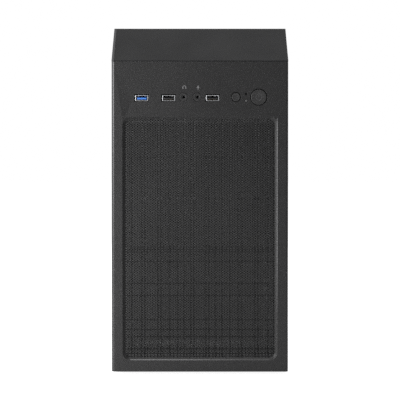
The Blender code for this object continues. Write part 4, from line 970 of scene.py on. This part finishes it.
# feet
def foot(name, node):
    # a moulded puck: rounded tread, a hollow with a washer-headed screw
    low, high = span(node)
    x, y, h = (low[0] + high[0]) / 2, (low[1] + high[1]) / 2, high[2] - low[2]
    profile = [(2.4, 0), (2.4, 3.4), (2.2, 3.6), (0.3, 4.4), (0, 4.9), (0, 9.2), (0.25, 9.9), (0.8, 10.3),
               (3.2, 10.9), (3.5, 11.4),
               (h - 0.8, 12.0), (h - 0.2, 11.9), (h, 11.4), (h, 0)]
    makePiece(name, [turned(np.array(profile) * millimetre, (x * millimetre, y * millimetre, 0), (0, 0, 1), 48)],
              "chassis",
              rubber, (node,), angle=40)
    t = np.linspace(0, np.pi / 2, 5)
    head = np.concatenate([[(2.5, 0)], [(2.5, 3.1)], np.stack([2.3 - 1.0 * np.sin(t), 0.8 + 2.1 * np.cos(t)], -1),
                           [(1.7, 0.5), (1.7, 0)]])
    makePiece(name + "Screw", [turned(head * millimetre, (x * millimetre, y * millimetre, 0), (0, 0, 1), 24)],
              "chassis",
              chromeSteel)


for end in ("front", "rear"):
    for side in ("left", "right"):
        foot(end + side.capitalize() + "Foot", "foot_%s_%s" % (end, side))
print("fans, thumbscrews and feet made")


# leads
leadSettings = dict(
    harness=[(48, 29.7, 288), (48, 9.7, 286), (42, -14.3, 259), (31.6, -25, 222), (39.6, -21, 194), (51.6, -21, 186),
             (59.6, -21, 186)],
    harnessRadius=4.8,
    frontLead=[(71.3, -20, 26), (63.9, -20, 26), (60, -44, 34), (70, -98.7, 60), (70, -110.7, 120), (70, -114.7, 200),
               (66, -116.7, 262), (50, -120.7, 284), (44, -134.7, 286)],
    frontRadius=1.9,
)


def strandedLead(name, route, radius, strands, twist, node, material, steps=7, sides=3):
    # a bundle: the outline has one lobe for each strand and turns slowly along the route
    path = smoothLine(route, steps)
    along = np.concatenate([[0], np.cumsum(np.linalg.norm(np.diff(path, axis=0), axis=1))])
    sideCount = strands * sides
    a = np.linspace(0, 2 * np.pi, sideCount, endpoint=False)
    lobes = radius * (0.90 + 0.10 * np.abs(np.cos(a * strands / 2)))
    ahead = np.gradient(path, axis=0)
    ahead /= np.linalg.norm(ahead, axis=1)[:, None]
    first = frameOf(ahead[0])[0]
    across = np.zeros_like(path)
    for i in range(len(path)):
        first = first - (first @ ahead[i]) * ahead[i]
        first /= np.linalg.norm(first)
        across[i] = first
    aside = np.cross(ahead, across)
    turn = a[None] + along[:, None] * twist
    rings = path[:, None] + (np.cos(turn) * lobes)[..., None] * across[:, None]
    rings = rings + (np.sin(turn) * lobes)[..., None] * aside[:, None]
    grid = np.concatenate([np.repeat(path[:1], sideCount, 0)[None], rings, np.repeat(path[-1:], sideCount, 0)[None]])
    makePiece(name, [(grid.reshape(-1, 3) * millimetre, gridFaces(len(grid), sideCount, wrapColumns=True))],
              "chassis",
              material, (node,), angle=60)


strandedLead("powerHarness", leadSettings["harness"], leadSettings["harnessRadius"], 12, 0.02, "psu_harness",
             sleeveWeave)
strandedLead("frontPanelLead", leadSettings["frontLead"], leadSettings["frontRadius"], 6, 0.05, "front_panel_lead",
             sleeveWeave, 10)
plugs = [block((50.6, -26.5, 161), (60.4, -15.5, 211), 0.8, 0.5, 0)]
plugs += [block((49.8, -25.6 + 5.4 * c, 163.2 + 4.0 * r), (50.9, -21.4 + 5.4 * c, 166.4 + 4.0 * r), 0.3, 0.2, 0)
          for c in range(2) for r in range(12)]
makePiece("boardPowerPlug", plugs, "chassis", blackSmooth, angle=30)
print("leads made")


# what sits on the main board; its face looks to the left, so pieces rise towards smaller x
boardFace = 71.9


def chip(y, z, w, h, t=1.4, edge=0.15):
    return block((boardFace - t, y - w / 2, z - h / 2), (boardFace + 0.2, y + w / 2, z + h / 2), 0.25, edge, 0)


def canCapacitor(y, z, radius, height):
    # a can: crimped skirt, waist and a rolled top edge with a stamped cross
    profile = [(0, 0), (0, radius), (height * 0.12, radius), (height * 0.18, radius * 0.9), (height * 0.26, radius),
               (height - 0.5, radius),
               (height - 0.1, radius * 0.93), (height, radius * 0.82), (height - 0.15, radius * 0.78), (height - 0.15,
                                                                                                        0)]
    return turned(np.array(profile) * millimetre, np.array([boardFace, y, z]) * millimetre, (-1, 0, 0), 18)


chipPlastic = sparkPlastic("chipResin", (0.02, 0.02, 0.021), 0.5, 2400.0, 0.00003, 0.1)
canSteel = plainMetal("capacitorCan", (0.74, 0.75, 0.77), 0.28)
chokeGrey = sparkPlastic("chokeFerrite", (0.06, 0.06, 0.065), 0.55, 1800.0, 0.00005, 0.1)
whiteNylon = smoothPlastic("whiteNylon", (0.62, 0.61, 0.57), 0.42)
spread = seed.permutation(64)
cans = [canCapacitor(y, z, 3.2, 8.5) for y,
        z in [(30, 100), (30, 92), (20, 92), (112, 143), (120, 143), (128, 143), (136, 143), (40, 143), (48, 143)]]
cans += [canCapacitor(y, z, 2.4, 6.0) for y,
         z in [(-4, 130), (-12, 130), (60, 30), (70, 30), (80, 30), (126, 60), (126, 70)]]
makePiece("boardCapacitors", cans, "chassis", canSteel, angle=40)
chokes = [chip(y, z, 9.5, 9.5, 7.0, 0.6) for y,
          z in [(58, 146), (70, 146), (82, 146), (94, 146), (144, 160), (144, 172)]]
makePiece("boardChokes", chokes, "chassis", chokeGrey, angle=30)
chips = [chip(96, 122, 16, 16), chip(70, 112, 7, 7), chip(110, 108, 9, 9), chip(0, 215, 10, 10), chip(130, 118, 7, 7),
         chip(140, 40, 8, 8, 1.8), chip(118, 56, 12, 12), chip(2, 60, 6, 8), chip(-16, 160, 5, 7)]
chips += [chip(-20 + 4.2 * (k % 8), 236 + 5.0 * (k // 8), 2.4, 1.5, 0.8, 0.1) for k in range(16) if spread[k] % 5]
chips += [chip(56 + 5.0 * (k % 12), 132 - 4.0 * (k // 12), 2.4, 1.4, 0.8, 0.1) for k in range(24) if spread[k] % 4]
makePiece("boardChips", chips, "chassis", chipPlastic, angle=30)
headerRows = [(-18, 20, 9), (8, 20, 4), (-22, 130, 4), (110, 246, 4)]  # front end, height and pins of each double row
headers = []
for y, z, n in headerRows:
    headers.append(block((boardFace - 2.6, y, z - 2.6), (boardFace + 0.2, y + n * 2.54, z + 2.6), 0.3, 0.2, 0))
makePiece("boardHeaders", headers, "chassis", blackSmooth, angle=30)
pins = []
for y, z, n in headerRows:
    pins += [block((boardFace - 9.0, y + 0.95 + 2.54 * k, z + r - 0.32),
                   (boardFace - 2.4, y + 1.59 + 2.54 * k, z + r + 0.32), 0.1, 0.2, 0, 2)
             for k in range(n) for r in (-1.27, 1.27)]
makePiece("boardPins", pins, "chassis", gold, angle=30)


# memory modules: chips and a notched gold edge
def memoryDetails(name, node):
    low, high = span(node)
    chipsHere = []
    for face in (low[1], high[1]):
        away = -1 if face == low[1] else 1
        chipsHere += [block((low[0] + 6, min(face - away * 0.2, face + away * 0.9), z),
                            (low[0] + 20, max(face - away * 0.2, face + away * 0.9), z + 9.5), 0.2, 0.12, 1)
                      for z in np.concatenate([low[2] + 6 + 13.2 * np.arange(4), low[2] + 74 + 13.2 * np.arange(4)])]
    makePiece(name + "Chips", chipsHere, "chassis", chipPlastic, angle=30)
    fingers = [block((high[0] - 4.5, low[1] - 0.06, z), (high[0] - 0.4, high[1] + 0.06, z + 0.9), 0.05, 0.03, 0, 2)
               for z in np.arange(low[2] + 3, high[2] - 3, 1.5) if abs(z - (low[2] + high[2]) / 2 - 4) > 3]
    makePiece(name + "Contacts", fingers, "chassis", gold, angle=30)


memoryDetails("memoryOne", "memory_module_1")
memoryDetails("memoryTwo", "memory_module_2")


# the drive: a lid on the cast body, spindle boss, screws and a socket at its end
low, high = span("hard_drive")
middle = (low + high) / 2
lid = [block((low[0] + 3, low[1] + 4, high[2] - 0.3), (high[0] - 3, high[1] - 22, high[2] + 0.5), 6.0, 0.4, 2, 6)]
makePiece("hardDriveLid", lid, "chassis", plainMetal("driveLid", (0.60, 0.61, 0.63), 0.3), angle=30)
boss = [turned(np.array([(0, 0), (0, 17), (0.5, 16.2), (0.5, 6), (0.9, 5.4), (0.9, 0)]) * millimetre,
               np.array([middle[0], low[1] + 50, high[2] + 0.45]) * millimetre, (0, 0, 1), 48)]
for sx in (-1, 1):
    for y in (low[1] + 8, middle[1] - 8, high[1] - 26):
        boss.append(turned(np.array([(0, 0), (0, 2.6), (0.5, 2.3), (0.7, 1.6), (0.25, 1.0), (0.25, 0)]) * millimetre,
                           np.array([middle[0] + sx * (high[0] - low[0] - 14) / 2, y,
                                     high[2] + 0.45]) * millimetre, (0, 0, 1), 16))
makePiece("hardDriveFixings", boss, "chassis", chromeSteel, angle=40)
makePiece("hardDriveSocket", [block((low[0] + 12, high[1] - 8, low[2] + 2.0),
                                    (low[0] + 62, high[1] - 0.02, low[2] + 9), 0.5, 0.1, 1)],
          "chassis", blackSmooth, angle=30)
print("board, memory and drive details made")


# sockets of the main board in their own plastics, over the frame's plain ones
boardEdge = 162.0  # rear edge of the board
jackets = []
for y in (34.0, 25.0):
    jackets.append(block((boardFace - 6.9, y - 3.15, 113.9), (boardFace + 0.1, y - 1.05, 254.1), 0.4, 0.3, 0))
    jackets.append(block((boardFace - 6.9, y + 1.05, 113.9), (boardFace + 0.1, y + 3.15, 254.1), 0.4, 0.3, 0))
for number, length in enumerate((30, 89, 30, 89)):
    z = 26 + 20.32 * number
    for side in (-1, 1):
        jackets.append(block((boardFace - 10.9, boardEdge - 58.1 - length, z + side * 2.35 - 1.5),
                             (boardFace + 0.1, boardEdge - 57.9, z + side * 2.35 + 1.5), 0.4, 0.35, 0))
    jackets.append(block((boardFace - 10.4, boardEdge - 58.0 - length, z - 2.0),
                         (boardFace + 0.1, boardEdge - 57.2, z + 2.0), 0.2, 0.1, 0))
makePiece("boardSlots", jackets, "chassis", blackSmooth, angle=30)
latches = []
for y in (34.0, 25.0):
    for z, up in ((112.6, -1), (255.4, 1)):
        latches.append(block((boardFace - 12.5, y - 2.6, z - 1.8), (boardFace + 0.1, y + 2.6, z + 1.8), 0.8, 0.8, 0))
makePiece("memoryLatches", latches, "chassis", whiteNylon, angle=30)
drivePorts = [block((boardFace - 8.9, -26.2, z - 0.2), (boardFace + 0.1, -13.8, z + 8.2), 0.5, 0.3, 0)
              for z in (40, 52, 64)]
makePiece("boardDrivePorts", drivePorts, "chassis", bluePlastic, angle=30)
tall = [canCapacitor(y, z, 4.15, 9.6) for y, z in ((40, 100), (52, 100), (64, 100), (80, 254), (92, 254))]
makePiece("boardLargeCapacitors", tall, "chassis", canSteel, angle=40)


def panHeads(name, places, out, radius, body, material=chromeSteel, rise=1.3):
    # low domed heads with a cross recess, given as two dark slot blocks set into the head that are painted shade for
    # its depth
    t = np.linspace(0, np.pi / 2, 5)
    shapes, slots = [], []
    head = np.concatenate([[(-0.6, 0), (-0.6, radius)],
                           np.stack([rise * np.sin(t), radius * (0.72 + 0.28 * np.cos(t))], -1),
                           [(rise + 0.05, radius * 0.5), (rise + 0.05, 0)]])
    p, q, w = frameOf(out)
    for place in places:
        shapes.append(turned(head * millimetre, np.array(place, float) * millimetre, out, 20))
        for direction in (p, q):
            other = np.cross(w, direction)
            half = np.abs(direction) * radius * 0.5 + np.abs(other) * 0.32 + np.abs(w) * 0.3
            centre = np.array(place, float) + w * (rise - 0.2)
            slots.append(block(centre - half, centre + half, 0.1, 0.05, int(np.argmax(np.abs(w)))))
    makePiece(name, shapes, body, material, angle=40)
    makePiece(name + "Slots", slots, body, paintedRecessShade, angle=30)


rearWall = 167.0
fanOff = 41.25  # half the 92 mm fan's hole spacing
flush = 1.25  # the left pair is sunk by this, because the side panel's fold lies over it
panHeads("rearFanScrews", [(-36 + a * fanOff, rearWall - (flush if a < 0 else 0), 196 + b * fanOff)
                           for a in (-1, 1) for b in (-1, 1)], (0, 1, 0), 3.6, "chassis", blackSmooth)
panHeads("supplyScrews", [(x, rearWall, z) for x, z in ((-70, 346), (66, 346), (-70, 274), (30, 274))], (0, 1, 0),
         3.3, "chassis")
panHeads("boardScrews", [(boardFace + 0.1, y, z) for y in (152, -20) for z in (24, 138, 252)], (-1, 0, 0), 2.9,
         "chassis")
fanSpread = (120 - 15) / 2
panHeads("frontFanScrews", [(a * fanSpread, -155.0, 190 + b * fanSpread) for a in (-1, 1) for b in (-1, 1)],
         (0, -1, 0), 3.4, "chassis")
panHeads("cpuFanScrews", [(26.3, 92 + a * 39, 196 + b * 39) for a in (-1, 1) for b in (-1, 1)], (-1, 0, 0), 2.6,
         "chassis")

# the rear ports' insides
liners, blueParts, blackParts, goldParts, greyParts = [], [], [], [], []
for z, height, depth in ((246, 18, 28), (222, 17, 30), (198, 20, 14), (172, 17, 30), (149, 18, 30), (118, 26, 24)):
    x0, x1 = 71.6 - depth + 1.5, 69.6 - 1.5
    z0, z1 = z - height / 2 + 1.5, z + height / 2 - 1.5
    # a dark liner plate at the back of each opening: painted shade for the port's depth
    liners.append(block((x0 - 0.1, 159.7, z0 - 0.1), (x1 + 0.1, 160.6, z1 + 0.1), 0.2, 0.1, 1))
    width = x1 - x0
    if z in (246, 172, 149):  # a pair of flat ports side by side
        for side in (0.27, 0.73):
            x = x0 + width * side
            (blueParts if z != 246 else blackParts).append(block((x - 1.0, 160.3, z0 + 1.6),
                                                                 (x + 1.0, 166.2, z1 - 1.6), 0.3, 0.25, 1))
            goldParts += [block((x - 1.12, 160.4, zz - 0.5), (x - 0.95, 165.4, zz + 0.5), 0.05, 0.05, 1, 2)
                          for zz in np.linspace(z0 + 3.4, z1 - 3.4, 4)]
        middle = (x0 + x1) / 2
        greyParts.append(block((middle - 0.6, 160.3, z0), (middle + 0.6, 167.4, z1), 0.1, 0.1, 1))
    elif z == 222:  # the video port: a blue core with three rows of holes, and two hexagon posts
        blueParts.append(block((x0 + 4.2, 160.3, z0 + 2.2), (x1 - 4.2, 165.6, z1 - 2.2), 2.2, 0.4, 1, 4))
        for row in (-2.4, 0, 2.4):
            for k in range(5):
                at = (x0 + x1) / 2 + (k - 2) * 2.6 + (1.3 if row == 0 else 0)
                blackParts.append(block((at - 0.5, 165.5, z + row - 0.5), (at + 0.5, 165.68, z + row + 0.5), 0.45,
                                        0.05, 1))
        for side in (x0 + 1.9, x1 - 1.9):
            greyParts.append(turned(np.array([(0, 0), (0, 1.7), (4.6, 1.7), (4.9, 1.2), (4.9, 0)]) * millimetre,
                                    np.array([side, 160.5, z]) * millimetre, (0, 1, 0), 6))
    elif z == 198:  # the upright digital video port
        blackParts.append(block(((x0 + x1) / 2 - 0.8, 160.3, z0 + 2.5), ((x0 + x1) / 2 + 0.8, 166.0, z1 - 2.5), 0.2,
                                0.2, 1))
        goldParts += [block(((x0 + x1) / 2 + s * 0.85 - 0.06, 160.4, zz - 0.22),
                            ((x0 + x1) / 2 + s * 0.85 + 0.06, 165.2, zz + 0.22), 0.04, 0.04, 1, 2)
                      for s in (-1, 1) for zz in np.linspace(z0 + 3.2, z1 - 3.2, 9)]
    else:  # the network port: contact springs above and a latch step below
        blackParts.append(block((x0 + 0.2, 160.3, z0), (x0 + 4.4, 167.0, z1), 0.3, 0.2, 1))
        blackParts.append(block((x1 - 4.0, 160.3, z0), (x1 - 0.2, 167.0, z0 + 5.0), 0.3, 0.2, 1))
        blackParts.append(block((x1 - 4.0, 160.3, z1 - 5.0), (x1 - 0.2, 167.0, z1), 0.3, 0.2, 1))
        goldParts += [block((x0 + 4.5, 160.8, zz - 0.3), (x0 + 5.2, 166.4, zz + 0.3), 0.1, 0.1, 1, 2)
                      for zz in np.linspace(z0 + 6, z1 - 6, 8)]
makePiece("rearPortLiners", liners, "chassis", paintedRecessShade, angle=30)
makePiece("rearPortBlueCores", blueParts, "chassis", bluePlastic, angle=30)
makePiece("rearPortBlackCores", blackParts, "chassis", blackSmooth, angle=30)
makePiece("rearPortContacts", goldParts, "chassis", gold, angle=30)
makePiece("rearPortPosts", greyParts, "chassis", chromeSteel, angle=30)
print("board sockets, screws and rear ports made")


# floor, backdrop and the closing lines
def makeStage(s):
    mesh = bpy.data.meshes.new("studioFloor")
    h = s["floorSide"]
    mesh.from_pydata([(-h, -h, -0.0004), (h, -h, -0.0004), (h, h, -0.0004), (-h, h, -0.0004)], [], [(0, 1, 2, 3)])
    floor = bpy.data.objects.new("studioFloor", mesh)
    bpy.context.scene.collection.objects.link(floor)
    p = Paint("paleFloor", (0.86, 0.86, 0.86), 0.85)
    p.surface.inputs["Emission Color"].default_value = (1, 1, 1, 1)
    p.feed("Emission Strength", p.node("ShaderNodeLightPath", out="Is Camera Ray") * s["floorGlow"])
    mesh.materials.append(p.done())
    world = bpy.data.worlds.new("studioWorld")
    bpy.context.scene.world = world
    world.use_nodes = True
    world.cycles.sampling_method = "NONE"
    tree = world.node_tree
    background = tree.nodes["Background"]
    seen = tree.nodes.new("ShaderNodeBackground")
    seen.inputs["Strength"].default_value = s["backdrop"]
    seen.inputs["Color"].default_value = (1, 1, 1, 1)
    background.inputs["Color"].default_value = (1, 1, 1, 1)
    background.inputs["Strength"].default_value = s["fill"]
    chooser = tree.nodes.new("ShaderNodeMixShader")
    ray = tree.nodes.new("ShaderNodeLightPath")
    tree.links.new(ray.outputs["Is Camera Ray"], chooser.inputs[0])
    tree.links.new(background.outputs[0], chooser.inputs[1])
    tree.links.new(seen.outputs[0], chooser.inputs[2])
    tree.links.new(chooser.outputs[0], tree.nodes["World Output"].inputs["Surface"])


makeStage(stageSettings)
bpy.context.scene.view_settings.view_transform = "Standard"
bpy.context.scene.view_settings.look = "None"
bpy.context.scene.cycles.use_denoising = False  # denoising wipes out the fine holes
bpy.context.scene.cycles.use_adaptive_sampling = False
bpy.context.scene.cycles.sample_clamp_indirect = 0.6
bpy.context.scene.cycles.filter_width = 1.5
